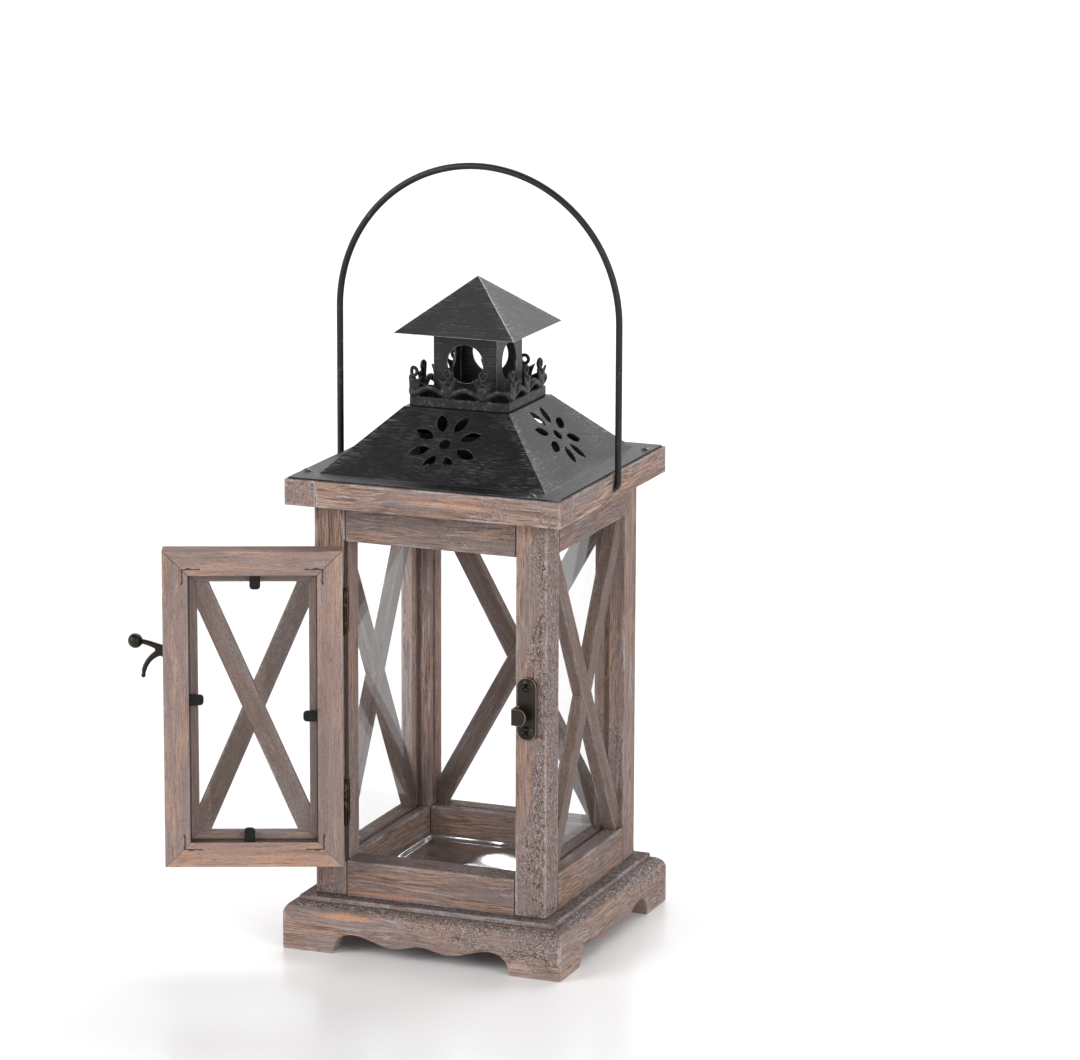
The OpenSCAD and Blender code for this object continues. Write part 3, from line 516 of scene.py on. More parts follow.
def bright_tray(name, metal):
    """Bright zinc-coated sheet with its faint crystal pattern, waves and scratches."""
    recipe = Recipe(name)
    place = recipe.place()
    crystal = recipe.node("ShaderNodeTexVoronoi", {"feature": "F1"},
                          {"Vector": place, "Scale": 0.22}, output="Color")
    spangle = recipe.parts(crystal)[0]
    waves = recipe.noise(recipe.stretch(place, (0.03, 0.02, 0.03)), detail=0.5)
    scratch = recipe.noise(recipe.stretch(place, (0.25, 3.0, 1.0)), detail=4.0, roughness=0.7)
    tilt = recipe.parts(place)[1] * 0.017
    return recipe.finish(
        Base_Color=recipe.mix(spangle * 0.35, colour(metal.tray), colour(metal.tray, 0.72)),
        Metallic=1.0,
        Roughness=0.13 + spangle * 0.04 + scratch.step(0.6, 0.8) * 0.1,
        Normal=recipe.bump(waves + tilt + scratch * 0.002, 0.015, 1.0))


def window_glass(name, metal):
    """Thin clear glass: all that shows is its reflection, which grows at a glancing angle."""
    recipe = Recipe(name)
    smear = recipe.noise(recipe.stretch(recipe.place(), (0.05, 0.05, 0.02)), detail=4.0,
                         roughness=0.6)
    facing = recipe.node("ShaderNodeLayerWeight", inputs={"Blend": 0.5}, output="Facing")
    reflected = 0.012 + facing ** 5.0 * 0.96
    return recipe.finish(
        Base_Color=colour(metal.glass),
        Metallic=1.0,
        Roughness=0.02,
        Alpha=reflected + smear.step(0.5, 0.85) * 0.02)


def black_plastic(name, metal):
    """Black plastic with fine lighter specks."""
    recipe = Recipe(name)
    fine = recipe.noise(recipe.place(), 4.0)
    return recipe.finish(
        Base_Color=recipe.mix(fine.step(0.4, 0.7), colour(metal.clip), colour(metal.clip_dust)),
        Roughness=0.42 + fine * 0.15,
        Specular_IOR_Level=0.25,
        Normal=recipe.bump(fine, 0.00005, 0.5))


def stage_floor(name, stage):
    """Pale, slightly glossy floor, so that the lantern has a faint reflection."""
    recipe = Recipe(name)
    tint = recipe.noise(recipe.stretch(recipe.place(), (0.004, 0.004, 1.0)), detail=1.0)
    return recipe.finish(
        Base_Color=recipe.mix(tint, colour(stage.floor), colour(stage.floor_shade)),
        Roughness=0.22,
        Specular_IOR_Level=0.5)


# ---------------------------------------------------------------- mesh helpers

# Points nearer than this are one point; faces that meet at less than this angle are one face
SAME_POINT = 0.002 * MM
FLAT_ANGLE = math.radians(0.5)
# Edges sharper than these are rounded, or stay sharp where a piece isn't rounded
EDGE_ANGLE = math.radians(40)
SHARP_ANGLE = math.radians(35)
# Boards are cut from places up to this far from the middle of one log, in millimetres
LOG_SIZE = 900
# Cosine and sine of an eighth of a turn
EIGHTH_TURN = 0.7071


def bounds_of(points):
    """The low and high corners of the box round some points."""
    points = list(points)
    return (Vector(min(p[i] for p in points) for i in range(3)),
            Vector(max(p[i] for p in points) for i in range(3)))


def node_box(node):
    """The low and high corners of a node's box."""
    return tuple(Vector(corner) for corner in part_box(node))


def shut_places(node):
    """A node's points with the door shut."""
    return [SHUT_DOOR @ vertex.co for vertex in NODES[node].data.vertices]


def full_turn(sides):
    """The angles of the corners of a regular polygon."""
    return [2 * math.pi * k / sides for k in range(sides)]


def add_object(name, mesh):
    """Puts a mesh into the scene as a piece."""
    piece = bpy.data.objects.new(name, mesh)
    bpy.context.scene.collection.objects.link(piece)
    return piece


def finish_piece(piece, body, slot, material, *nodes):
    """Gives a piece its material, ties it to its body and hides the nodes it stands for; the slot is not
    used.
    """
    piece.data.materials.clear()
    piece.data.materials.append(material)
    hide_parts(*nodes)
    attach(piece, body)


def node_copy(name, node, edge_round=0.0, segments=3):
    """A piece with a node's shape, its flat faces joined up and its edges rounded.

    The faces of the rounded edges carry the value 1 in the attribute rim.
    """
    mesh = NODES[node].data.copy()
    shape = bmesh.new()
    shape.from_mesh(mesh)
    bmesh.ops.remove_doubles(shape, verts=shape.verts, dist=SAME_POINT)
    bmesh.ops.dissolve_limit(shape, angle_limit=FLAT_ANGLE, verts=shape.verts, edges=shape.edges)
    bmesh.ops.recalc_face_normals(shape, faces=shape.faces)
    shape.to_mesh(mesh)
    shape.free()
    piece = add_object(name, mesh)
    if edge_round:
        bevel = piece.modifiers.new("Edges", "BEVEL")
        bevel.width = edge_round
        bevel.segments = segments
        bevel.limit_method = "ANGLE"
        bevel.angle_limit = EDGE_ANGLE
        bevel.harden_normals = True
        bevel.material = 1
        mesh.materials.append(None)
        mesh.materials.append(None)
        mesh.shade_smooth()
        mesh.set_sharp_from_angle(angle=EDGE_ANGLE)
        bake_modifiers(piece)
        mark_rim(piece)
    else:
        piece.data.set_sharp_from_angle(angle=SHARP_ANGLE)
    return piece


def bake_modifiers(piece):
    """Applies a piece's modifiers to its mesh."""
    graph = bpy.context.evaluated_depsgraph_get()
    mesh = bpy.data.meshes.new_from_object(piece.evaluated_get(graph))
    piece.modifiers.clear()
    old = piece.data
    piece.data = mesh
    bpy.data.meshes.remove(old)


def store_numbers(mesh, name, values):
    """Stores a number at each point of a mesh."""
    mesh.attributes.new(name, "FLOAT", "POINT").data.foreach_set("value", values)


def store_vectors(mesh, name, vectors):
    """Stores three numbers at each point of a mesh."""
    layer = mesh.attributes.new(name, "FLOAT_VECTOR", "POINT")
    layer.data.foreach_set("vector", [part for vector in vectors for part in vector])


def mark_board(piece, turn, seed, board):
    """Stores what the wood's material reads at each point, in millimetres and shares of 1.

    grain is the place on the log it was cut from, board_place the place from the board's middle
    and board_half half the board's size. wear holds rub, wash and shade; shade is the board's
    brightness, its own tone and, on the top rails, painted shade under the top boards. flaky is
    more where the wash flakes; its three numbers are at the middle, more along the board and more
    across it. joined_ends is 1 where the board's ends meet others. shadow_and_dark_face_zone is the
    distance from two faces and the darkness near them, for the painted shadow in the gap beside
    the door's hinges and for a darker band along the inner face of the top boards. worn_patch is
    the place in reaches from the middle of one rubbed patch, and its strength.
    """
    mesh = piece.data
    points = [turn @ (vertex.co / MM) for vertex in mesh.vertices]
    count = len(points)
    low, high = bounds_of(points)
    middle, half = (low + high) / 2, (high - low) / 2
    rng = random.Random(seed)
    shift = Vector(rng.uniform(-LOG_SIZE, LOG_SIZE) for _ in range(3))
    places = [p - middle for p in points]
    store_vectors(mesh, "grain", [p + shift for p in places])
    store_vectors(mesh, "board_place", places)
    store_vectors(mesh, "board_half", [half] * count)
    store_vectors(mesh, "wear", [(board["rub"], board["wash"], board["shade"])] * count)
    flaky, flaky_along, flaky_across = board["flaky"]
    store_numbers(mesh, "flaky", [
        flaky + flaky_along * p.x / half.x + flaky_across * p.z / half.z for p in places])
    store_numbers(mesh, "joined_ends", [board.get("joined", 0.0)] * count)
    if "dark_inner_face" in board:
        zone = [(half.y - p.y, 0.0, board["dark_inner_face"]) for p in places]
    else:
        zone = [(p.y + half.y, p.z + half.z, board.get("gap", 0.0)) for p in places]
    store_vectors(mesh, "shadow_and_dark_face_zone", zone)
    at_x, at_z, reach_x, reach_z, strength = board.get("worn", (0, 0, 1, 1, 0))
    store_vectors(mesh, "worn_patch", [
        ((p.x - at_x * half.x) / reach_x, (p.z - at_z * half.z) / reach_z, strength)
        for p in places])


def mark_screw_heads(piece, lay):
    """Stores each point's place across its screw, turned by an eighth, for a pair of screws."""
    spots = [(lay @ vertex.co) / MM for vertex in piece.data.vertices]
    low, high = bounds_of(spots)
    middle = (low + high) / 2
    centres = []
    for above in (False, True):
        low, high = bounds_of(p for p in spots if (p.z > middle.z) == above)
        centres.append((low.z + high.z) / 2)
    values = []
    for p in spots:
        x, z = p.x - middle.x, p.z - centres[p.z > middle.z]
        values.append(((x + z) * EIGHTH_TURN, (x - z) * EIGHTH_TURN, 1.0))
    store_vectors(piece.data, "screw_head", values)


def mark_rim(piece):
    """Marks the faces of rounded edges with 1 and all others with 0."""
    mesh = piece.data
    rim = [0] * len(mesh.polygons)
    mesh.polygons.foreach_get("material_index", rim)
    layer = mesh.attributes.new("rim", "FLOAT", "FACE")
    layer.data.foreach_set("value", [float(index) for index in rim])
    mesh.polygons.foreach_set("material_index", [0] * len(rim))


def mesh_object(name, points, faces):
    """A smooth piece from its points and faces."""
    mesh = bpy.data.meshes.new(name)
    mesh.from_pydata([tuple(p) for p in points], [], faces)
    mesh.validate()
    mesh.shade_smooth()
    return add_object(name, mesh)


def skin(rings, closed=False, inward=False):
    """Points and faces of a skin over rings of points; inward is for rings that turn backwards."""
    sides, count = len(rings[0]), len(rings)
    faces = []
    for i in range(count if closed else count - 1):
        a, b = i * sides, (i + 1) % count * sides
        faces += [(a + k, a + (k + 1) % sides, b + (k + 1) % sides, b + k) for k in range(sides)]
    if not closed:
        faces.append(tuple(range(sides))[::-1])
        faces.append(tuple((count - 1) * sides + k for k in range(sides)))
    if inward:
        faces = [face[::-1] for face in faces]
    return [p for ring in rings for p in ring], faces


def tube(points, radii, sides=16, closed=False, flat=1.0):
    """Points and faces of a round tube swept along points; flat below 1 thins it sideways."""
    rings = []
    count = len(points)
    for i, point in enumerate(points):
        ahead = points[(i + 1) % count] if closed or i + 1 < count else point
        behind = points[i - 1] if closed or i > 0 else point
        along = (ahead - behind).normalized()
        side = along.cross(Vector((0, 0, 1)))
        if side.length < 0.2:
            side = along.cross(Vector((0, 1, 0)))
        side.normalize()
        up = side.cross(along)
        rings.append([point + radii[i] * (flat * math.cos(a) * side + math.sin(a) * up)
                      for a in full_turn(sides)])
    return skin(rings, closed)


def ball(centre, radius, rings, sides):
    """Points and faces of a round ball."""
    points = [centre + Vector((0, 0, radius))]
    for i in range(1, rings):
        angle = math.pi * i / rings
        points += [centre + radius * Vector((math.sin(angle) * math.cos(a),
                                             math.sin(angle) * math.sin(a), math.cos(angle)))
                   for a in full_turn(sides)]
    points.append(centre - Vector((0, 0, radius)))
    faces = [(0, 1 + k, 1 + (k + 1) % sides) for k in range(sides)]
    for i in range(rings - 2):
        a, b = 1 + i * sides, 1 + (i + 1) * sides
        faces += [(a + k, b + k, b + (k + 1) % sides, a + (k + 1) % sides) for k in range(sides)]
    last, a = len(points) - 1, 1 + (rings - 2) * sides
    faces += [(a + (k + 1) % sides, a + k, last) for k in range(sides)]
    return points, faces


def joined(*shapes):
    """Several (points, faces) pairs as one."""
    points, faces = [], []
    for more_points, more_faces in shapes:
        offset = len(points)
        points += more_points
        faces += [tuple(i + offset for i in face) for face in more_faces]
    return points, faces


def fuse(piece, voxel, smooth_steps):
    """Melts overlapping shapes into one skin, as a casting has."""
    remesh = piece.modifiers.new("Fuse", "REMESH")
    remesh.mode = "VOXEL"
    remesh.voxel_size = voxel
    remesh.use_smooth_shade = True
    relax = piece.modifiers.new("Relax", "SMOOTH")
    relax.factor = 0.5
    relax.iterations = smooth_steps
    bake_modifiers(piece)


# ---------------------------------------------------------------- wooden boards

ALONG_X = Matrix.Identity(3)
ALONG_Z = Matrix.Rotation(math.radians(90), 3, "Y")
SIDES = ("front", "right", "rear", "left")
# The random draws of the door's boards and of the slats start here, those of the others at 0
DOOR_SEED = 50
SLAT_SEED = 100


def side_turn(side):
    """Turns a place on one side of the cabinet to the same place on the front side."""
    return Matrix.Rotation(math.radians(-90 * SIDES.index(side)), 3, "Z")


def slat_turn(width, height, rise):
    """Turns a slat that crosses an upright opening so that it lies along X."""
    return Matrix.Rotation(rise * math.atan2(height, width), 3, "Y")


def board_list():
    """Every wooden node of the cabinet: the turn that lays its grain along X, its body, its wear.

    mark_board says what the numbers of the wear are.
    """
    boards = []
    for side in SIDES:
        lie = side_turn(side)
        front = side == "front"
        boards += [
            (f"plinth_{side}", lie, "lantern",
             {"rub": 0.1, "wash": 0.95, "shade": 1.14, "flaky": (0.2, 0.28, 0.2),
              "worn": (-0.55, 0.6, 17, 1.5, 0.75 if front else 0.0)}),
            (f"bottom_rail_{side}", lie, "lantern",
             {"rub": 0.1, "wash": 0.6, "shade": 0.95, "flaky": (0.05, 0.2, 0.0), "joined": 0.95,
              "worn": (-0.45, -0.75, 26, 1.1, 0.8 if front else 0.0)}),
            # The top rails' shade of 0.85 is painted shade under the top boards
            (f"top_rail_{side}", lie, "lantern",
             {"rub": 0.0, "wash": 0.8, "shade": 0.85, "flaky": (0.15, 0.1, 0.0), "joined": 0.95}),
            (f"top_board_{side}", lie, "lantern",
             # A darker band along the top board's inner face
             {"rub": 0.15, "wash": 0.9, "shade": 1.06, "flaky": (0.15, 0.1, 0.0), "dark_inner_face": 0.95,
              "worn": (0.1, 0.05, 27, 1.3, 0.85 if front else 0.0)}),
        ]
    for corner in ("front_left", "front_right", "rear_left", "rear_right"):
        flaky = (0.32, -0.12, -0.34) if corner == "front_right" else (0.12, -0.15, 0.0)
        # Painted shadow in the gap beside the door's hinges, on the front left post
        gap = 0.9 if corner == "front_left" else 0.0
        boards.append((f"post_{corner}", ALONG_Z, "lantern",
                       {"rub": 0.2, "wash": 0.6, "shade": 1.02, "flaky": flaky, "joined": 0.9,
                        "gap": gap}))
    boards.append(("base_panel", ALONG_X, "lantern",
                   {"rub": 0.2, "wash": 1.0, "shade": 0.9, "flaky": (0.35, 0.0, 0.0)}))
    return boards


def door_board_list():
    """The door's four members, as board_list gives the cabinet's."""
    shut = SHUT_DOOR.to_3x3()
    wear = {"rub": 0.0, "wash": 0.15, "shade": 1.03, "flaky": (-0.25, 0.0, 0.0)}
    return [
        ("door_hinge_stile", ALONG_Z @ shut, "door", wear),
        ("door_latch_stile", ALONG_Z @ shut, "door", wear),
        ("door_top_rail", shut, "door", {**wear, "wash": 0.3}),
        ("door_bottom_rail", shut, "door", {**wear, "rub": 0.45, "shade": 1.06}),
    ]


def slat_list():
    """Every slat node, as board_list gives the boards."""
    slats = []
    low, high = node_box("rear_long_slat")
    size = high - low
    wear = {"rub": 0.05, "wash": 0.25, "shade": 1.0, "flaky": (-0.3, 0.0, 0.0)}
    for side in ("right", "rear", "left"):
        turn = side_turn(side)
        slats.append((f"{side}_long_slat", slat_turn(size.x, size.z, -1) @ turn, "lantern", wear))
        slats.append((f"{side}_short_slats", slat_turn(size.x, size.z, 1) @ turn, "lantern",
                      {**wear, "shade": 0.92}))
    shut = SHUT_DOOR.to_3x3()
    low, high = bounds_of(shut_places("door_long_slat"))
    size = high - low
    slats.append(("door_long_slat", slat_turn(size.x, size.z, 1) @ shut, "door",
                  {**wear, "shade": 1.08}))
    slats.append(("door_short_slats", slat_turn(size.x, size.z, -1) @ shut, "door",
                  {**wear, "shade": 0.92}))
    return slats


def mark_door(piece, middle):
    """Stores each point's place on the shut door, from the middle of its inner face."""
    store_vectors(piece.data, "door_place", [
        (SHUT_DOOR @ vertex.co - middle) / MM for vertex in piece.data.vertices])


class LANTERN_OT_boards(bpy.types.Operator):
    """Build the posts, rails, plinth and top frame from weathered boards"""
    bl_idname = "lantern.boards"
    bl_label = "Boards"

    def execute(self, context):
        wood = context.scene.lantern_wood
        material = washed_wood("washed_wood", wood, colour(wood.cabinet), 0.95, 0.3)
        for seed, (node, turn, body, wear) in enumerate(board_list()):
            piece = node_copy(f"{node}_board", node, wood.edge_round)
            mark_board(piece, turn, seed, wear)
            finish_piece(piece, body, "washed_wood", material, node)
        return {"FINISHED"}


class LANTERN_OT_door_frame(bpy.types.Operator):
    """Build the door's mitred frame from smoother boards"""
    bl_idname = "lantern.door_frame"
    bl_label = "Door frame"

    def execute(self, context):
        wood = context.scene.lantern_wood
        low, high = bounds_of(shut_places("door_glass"))
        inner_y = bounds_of(shut_places("door_hinge_stile"))[1].y
        middle = Vector(((low.x + high.x) / 2, inner_y, (low.z + high.z) / 2))
        rebate = (high - low) / 2 / MM
        material = washed_wood("washed_door_wood", wood, colour(wood.door), 0.5, 0.25, rebate)
        for seed, (node, turn, body, wear) in enumerate(door_board_list()):
            piece = node_copy(f"{node}_board", node, wood.edge_round)
            mark_board(piece, turn, DOOR_SEED + seed, wear)
            mark_door(piece, middle)
            finish_piece(piece, body, "door_wood", material, node)
        return {"FINISHED"}


class LANTERN_OT_slats(bpy.types.Operator):
    """Build the crossed slats of the sides and the door"""
    bl_idname = "lantern.slats"
    bl_label = "Slats"

    def execute(self, context):
        wood = context.scene.lantern_wood
        material = washed_wood("slat_wood", wood, colour(wood.slats), 0.4, 0.7)
        for seed, (node, turn, body, wear) in enumerate(slat_list()):
            piece = node_copy(f"{node}_strip", node, 0.3 * MM)
            mark_board(piece, turn, SLAT_SEED + seed, wear)
            finish_piece(piece, body, "slat_wood", material, node)
        return {"FINISHED"}


# ---------------------------------------------------------------- sheet metal

class LANTERN_OT_roof(bpy.types.Operator):
    """Build the pierced roof, the cupola's tower and the cupola's roof from brushed sheet"""
    bl_idname = "lantern.roof"
    bl_label = "Roof and cupola"

    # Each node's shine and amount of brushing
    FINISHES = (("metal_roof", 0.0, 1.0), ("cupola_tower", 0.0, 0.3), ("cupola_roof", 0.13, 0.9))

    def execute(self, context):
        metal = context.scene.lantern_metal
        for node, shine, brush in self.FINISHES:
            material = brushed_sheet(f"{node}_paint", metal, shine, brush)
            piece = node_copy(f"{node}_sheet", node, 0.3 * MM, 2)
            finish_piece(piece, "lantern", "roof_sheet", material, node)
        screws = plated("roof_screw_zinc", colour(metal.zinc), colour(metal.wire), 0.6, 0.25)
        piece = node_copy("roof_screw_heads", "roof_screws")
        piece.data.shade_smooth()
        piece.data.set_sharp_from_angle(angle=SHARP_ANGLE)
        finish_piece(piece, "lantern", "roof_screw", screws, "roof_screws")
        return {"FINISHED"}


class GalleryPath:
    """The line that the gallery follows round the deck, a square with bent corners."""

    def __init__(self, half, corner):
        self.half = half
        self.corner = corner
        self.side = 2 * half

    def place(self, along, out, height):
        """The point at a distance along the gallery from its front left corner."""
        side, u = divmod(along, self.side)
        u -= self.half
        reach = self.half - self.corner
        turn = 0.0
        x, y = u, -self.half
        if abs(u) > reach:
            share = (abs(u) - reach) / self.corner
            turn = math.copysign(share * math.pi / 4, u)
            x = math.copysign(reach + self.corner * math.sin(abs(turn)), u)
            y = -reach - self.corner * math.cos(turn)
        normal = Vector((math.sin(turn), -math.cos(turn), 0))
        spot = Vector((x, y, 0)) + out * normal
        spot.rotate(Matrix.Rotation(math.pi / 2 * (side % 4), 3, "Z"))
        return spot + Vector((0, 0, height))


def tulip_shape(path, middle, foot_z, tip_z):
    """A goblet of two leaves with a notch between them, bent along the gallery."""
    across, up = 14, 12
    foot_w, tip_w, thick = 1.9 * MM, 4.7 * MM, 1.25 * MM
    notch_h, curl_out = 2.2 * MM, 0.9 * MM
    front, back = [], []
    for j in range(up + 1):
        v = j / up
        half_w = foot_w + (tip_w - foot_w) * v ** 1.3
        for i in range(across + 1):
            u = 2 * i / across - 1
            notch = (1 - abs(u) ** 1.6) * notch_h * v ** 3
            height = foot_z + (tip_z - foot_z) * v - notch
            swell = thick * (1 - 0.5 * u * u) * (1 - 0.35 * v)
            curl = curl_out * v * v * abs(u)
            along = middle + math.copysign(abs(u) ** 0.85, u) * half_w
            front.append(path.place(along, swell + curl, height))
            back.append(path.place(along, curl * 0.6 - swell * 0.5, height))
    row = across + 1
    size = row * (up + 1)
    faces = []
    for j in range(up):
        for i in range(across):
            a = j * row + i
            faces.append((a, a + 1, a + row + 1, a + row))
            faces.append((size + a, size + a + row, size + a + row + 1, size + a + 1))
        left, right = j * row, j * row + across
        faces.append((left, left + row, size + left + row, size + left))
        faces.append((right, size + right, size + right + row, right + row))
    for i in range(across):
        top = up * row + i
        faces.append((i, size + i, size + i + 1, i + 1))
        faces.append((top, top + 1, size + top + 1, size + top))
    return front + back, faces


class LANTERN_OT_gallery(bpy.types.Operator):
    """Build the gallery: a band, a winding stem and ringed tulips, melted into one skin"""
    bl_idname = "lantern.gallery"
    bl_label = "Gallery"

    TULIPS = 11
    # Where the first tulip stands, along the gallery from its front left corner
    FIRST_TULIP = 1.5 * MM
    # Steps along the band and the stem
    STEPS = 440
    BAND_H = 4.2 * MM
    # Corners of the band's section, as shares of half its thickness and of half its height
    BAND_SECTION = ((-1, -0.9), (-1, 0.9), (-0.6, 1), (0.6, 1),
                    (1, 0.9), (1, -0.9), (0.6, -1), (-0.6, -1))
    BAND_HALF_T = 0.7 * MM
    STEM_R = 1.45 * MM
    RING_R = 1.75 * MM
    RING_WIRE_R = 0.78 * MM
    SEED_R = 1.5 * MM

    def execute(self, context):
        low, high = node_box("roof_gallery")
        path = GalleryPath(high.x - 1.1 * MM, 2.0 * MM)
        length = 4 * path.side
        pitch = length / self.TULIPS
        alongs = [length * i / self.STEPS for i in range(self.STEPS)]
        shapes = [self.band(path, alongs, low.z), self.stem(path, alongs, low.z, pitch)]
        for i in range(self.TULIPS):
            middle = self.FIRST_TULIP + i * pitch
            shapes.append(tulip_shape(path, middle, low.z + 4.4 * MM, low.z + 13.4 * MM))
            shapes.append(self.ring(path, middle, high.z - 2.75 * MM))
            shapes.append(ball(path.place(middle, 0.35 * MM, low.z + 11.2 * MM), self.SEED_R, 8, 12))
        piece = mesh_object("roof_gallery_casting", *joined(*shapes))
        fuse(piece, 0.26 * MM, 2)
        paint = rubbed_cast("gallery_paint", context.scene.lantern_metal)
        finish_piece(piece, "lantern", "gallery_cast", paint, "roof_gallery")
        return {"FINISHED"}

    def band(self, path, alongs, base_z):
        """A closed upright band with a slightly rounded section."""
        half_h = self.BAND_H / 2
        rings = [[path.place(u, a * self.BAND_HALF_T, base_z + half_h + b * half_h)
                  for a, b in self.BAND_SECTION] for u in alongs]
        return skin(rings, closed=True, inward=True)

    def stem(self, path, alongs, base_z, pitch):
        """A stem that winds up to each gap between tulips and down under each tulip."""
        points = []
        for u in alongs:
            wave = -math.cos(2 * math.pi * (u - self.FIRST_TULIP) / pitch)
            points.append(path.place(u, (0.15 + 0.25 * wave) * MM, base_z + (6.9 + 1.4 * wave) * MM))
        return tube(points, [self.STEM_R] * len(points), 10, closed=True, flat=0.8)

    def ring(self, path, middle, ring_z):
        """A ring of wire that stands in the plane of the gallery."""
        points = [path.place(middle + self.RING_R * math.cos(a), -0.1 * MM,
                             ring_z + self.RING_R * math.sin(a)) for a in full_turn(20)]
        centre = sum(points, Vector()) / len(points)
        rings = []
        for i, point in enumerate(points):
            along = (points[(i + 1) % len(points)] - points[i - 1]).normalized()
            out = (point - centre).normalized()
            side = along.cross(out).normalized()
            rings.append([point + self.RING_WIRE_R * (math.cos(a) * out + math.sin(a) * side)
                          for a in full_turn(10)])
        return skin(rings, closed=True)


# ---------------------------------------------------------------- fittings

class LANTERN_OT_hinges(bpy.types.Operator):
    """Build the brass hinges with their pins and screws"""
    bl_idname = "lantern.hinges"
    bl_label = "Hinges"

    def execute(self, context):
        metal = context.scene.lantern_metal
        brass = plated("hinge_brass", colour(metal.brass), colour(metal.tarnish), 0.95, 0.3)
        for place in ("upper", "lower"):
            for part, body in (("post_leaf", "lantern"), ("door_leaf", "door"), ("pin", "lantern")):
                node = f"{place}_hinge_{part}"
                piece = node_copy(f"{node}_plated", node, 0.12 * MM, 2)
                finish_piece(piece, body, "hinge_brass", brass, node)
        for node, body in (("post_leaf_screws", "lantern"), ("door_leaf_screws", "door")):
            piece = node_copy(f"{node}_plated", node)
            finish_piece(piece, body, "hinge_brass", brass, node)
        return {"FINISHED"}


class LANTERN_OT_latch(bpy.types.Operator):
    """Build the latch plate, the ball-ended lever and the catch"""
    bl_idname = "lantern.latch"
    bl_label = "Latch"

    # Places in millimetres from the hub, to the right and up; the ball's also out from the door
    FORK = (8.6, 8.5)
    BALL = (18.6, 11.9, 1.1)
    BALL_R = 3.12 * MM
    # The finger's curve: the place of its centre, and its radius
    FINGER = (4.65, -2.84, 10.75)

    def execute(self, context):
        metal = context.scene.lantern_metal
        bronze = antique_bronze("latch_bronze", metal)
        for node, body in (("catch_plate", "lantern"), ("latch_plate", "door"),
                           ("catch_screws", "lantern"), ("latch_screws", "door"),
                           ("latch_rivet", "door")):
            piece = node_copy(f"{node}_cast", node, 0.32 * MM if "plate" in node else 0.14 * MM, 3)
            if "screws" in node:
                mark_screw_heads(piece, SHUT_DOOR if body == "door" else Matrix.Identity(4))
            finish_piece(piece, body, "latch_bronze", bronze, node)
        self.lever(bronze)
        return {"FINISHED"}

    def lever(self, bronze):
        """The lever, drawn with the door shut: hub, neck, ball arm and curved finger."""
        hub = SHUT_DOOR @ LATCH
        low, high = bounds_of(p for p in shut_places("latch_lever") if p.x < hub.x + 2 * MM)
        mid_y, half_t = (low.y + high.y) / 2, (high.y - low.y) / 2

        def spot(x, z, out=0.0):
            """A place in millimetres from the hub: to the right, up and out from the door."""
            return Vector((hub.x + x * MM, mid_y - out * MM, hub.z + z * MM))

        def sweep(path, radii, sides=16):
            return tube(path, [r * MM for r in radii], sides)

        fork_x, fork_z = self.FORK
        ball_x, ball_z, ball_out = self.BALL
        centre_x, centre_z, finger_r = self.FINGER
        arm_x, arm_z = fork_x - 1.0, fork_z + 0.3
        neck = [spot(fork_x * t, fork_z * t) for t in (0, 0.25, 0.5, 0.75, 1)]
        arm = [spot(arm_x + (ball_x - arm_x) * t,
                    arm_z + (ball_z - arm_z) * math.sin(math.pi / 2 * t), ball_out * t)
               for t in (0, 0.2, 0.4, 0.6, 0.8, 1)]
        finger = [spot(centre_x + finger_r * math.cos(a), centre_z + finger_r * math.sin(a))
                  for a in (math.radians(d) for d in (72, 60, 48, 36, 24, 12, 1.3))]
        disc = [spot(0, 0, out) for out in (-0.95, -0.7, 0.7, 0.95)]
        points, faces = joined(
            sweep(neck, [1.7, 1.6, 1.5, 1.6, 1.9]),
            sweep(arm, [1.7, 1.35, 1.2, 1.1, 1.1, 1.3]),
            sweep(finger, [1.7, 1.4, 1.2, 1.1, 1.05, 1.0, 0.95]),
            ball(spot(fork_x, fork_z), 2.0 * MM, 10, 16),
            ball(spot(*self.BALL), self.BALL_R, 16, 24),
            ball(finger[-1], 1.0 * MM, 8, 12),
            sweep(disc, [2.9, 3.2, 3.2, 2.9], 28))
        thin_x = spot(ball_x, 0).x - 4.5 * MM
        squeezed = [self.flatten(p, mid_y, half_t, thin_x) for p in points]
        piece = mesh_object("latch_lever_cast", [OPEN_DOOR @ p for p in squeezed], faces)
        fuse(piece, 0.16 * MM, 3)
        finish_piece(piece, "latch_lever", "latch_bronze", bronze, "latch_lever")

    @staticmethod
    def flatten(point, mid_y, half_t, thin_x):
        """Keeps the lever as thin as its plate as far as thin_x, and round beyond it."""
        if point.x > thin_x:
            return point
        offset = max(-half_t, min(half_t, point.y - mid_y))
        return Vector((point.x, mid_y + offset, point.z))


class LANTERN_OT_clips(bpy.types.Operator):
    """Build the clips that hold the door's pane"""
    bl_idname = "lantern.clips"
    bl_label = "Clips"

    def execute(self, context):
        plastic = black_plastic("clip_black", context.scene.lantern_metal)
        piece = node_copy("glass_clips_moulded", "glass_clips", 0.22 * MM, 3)
        finish_piece(piece, "door", "clip_black", plastic, "glass_clips")
        return {"FINISHED"}


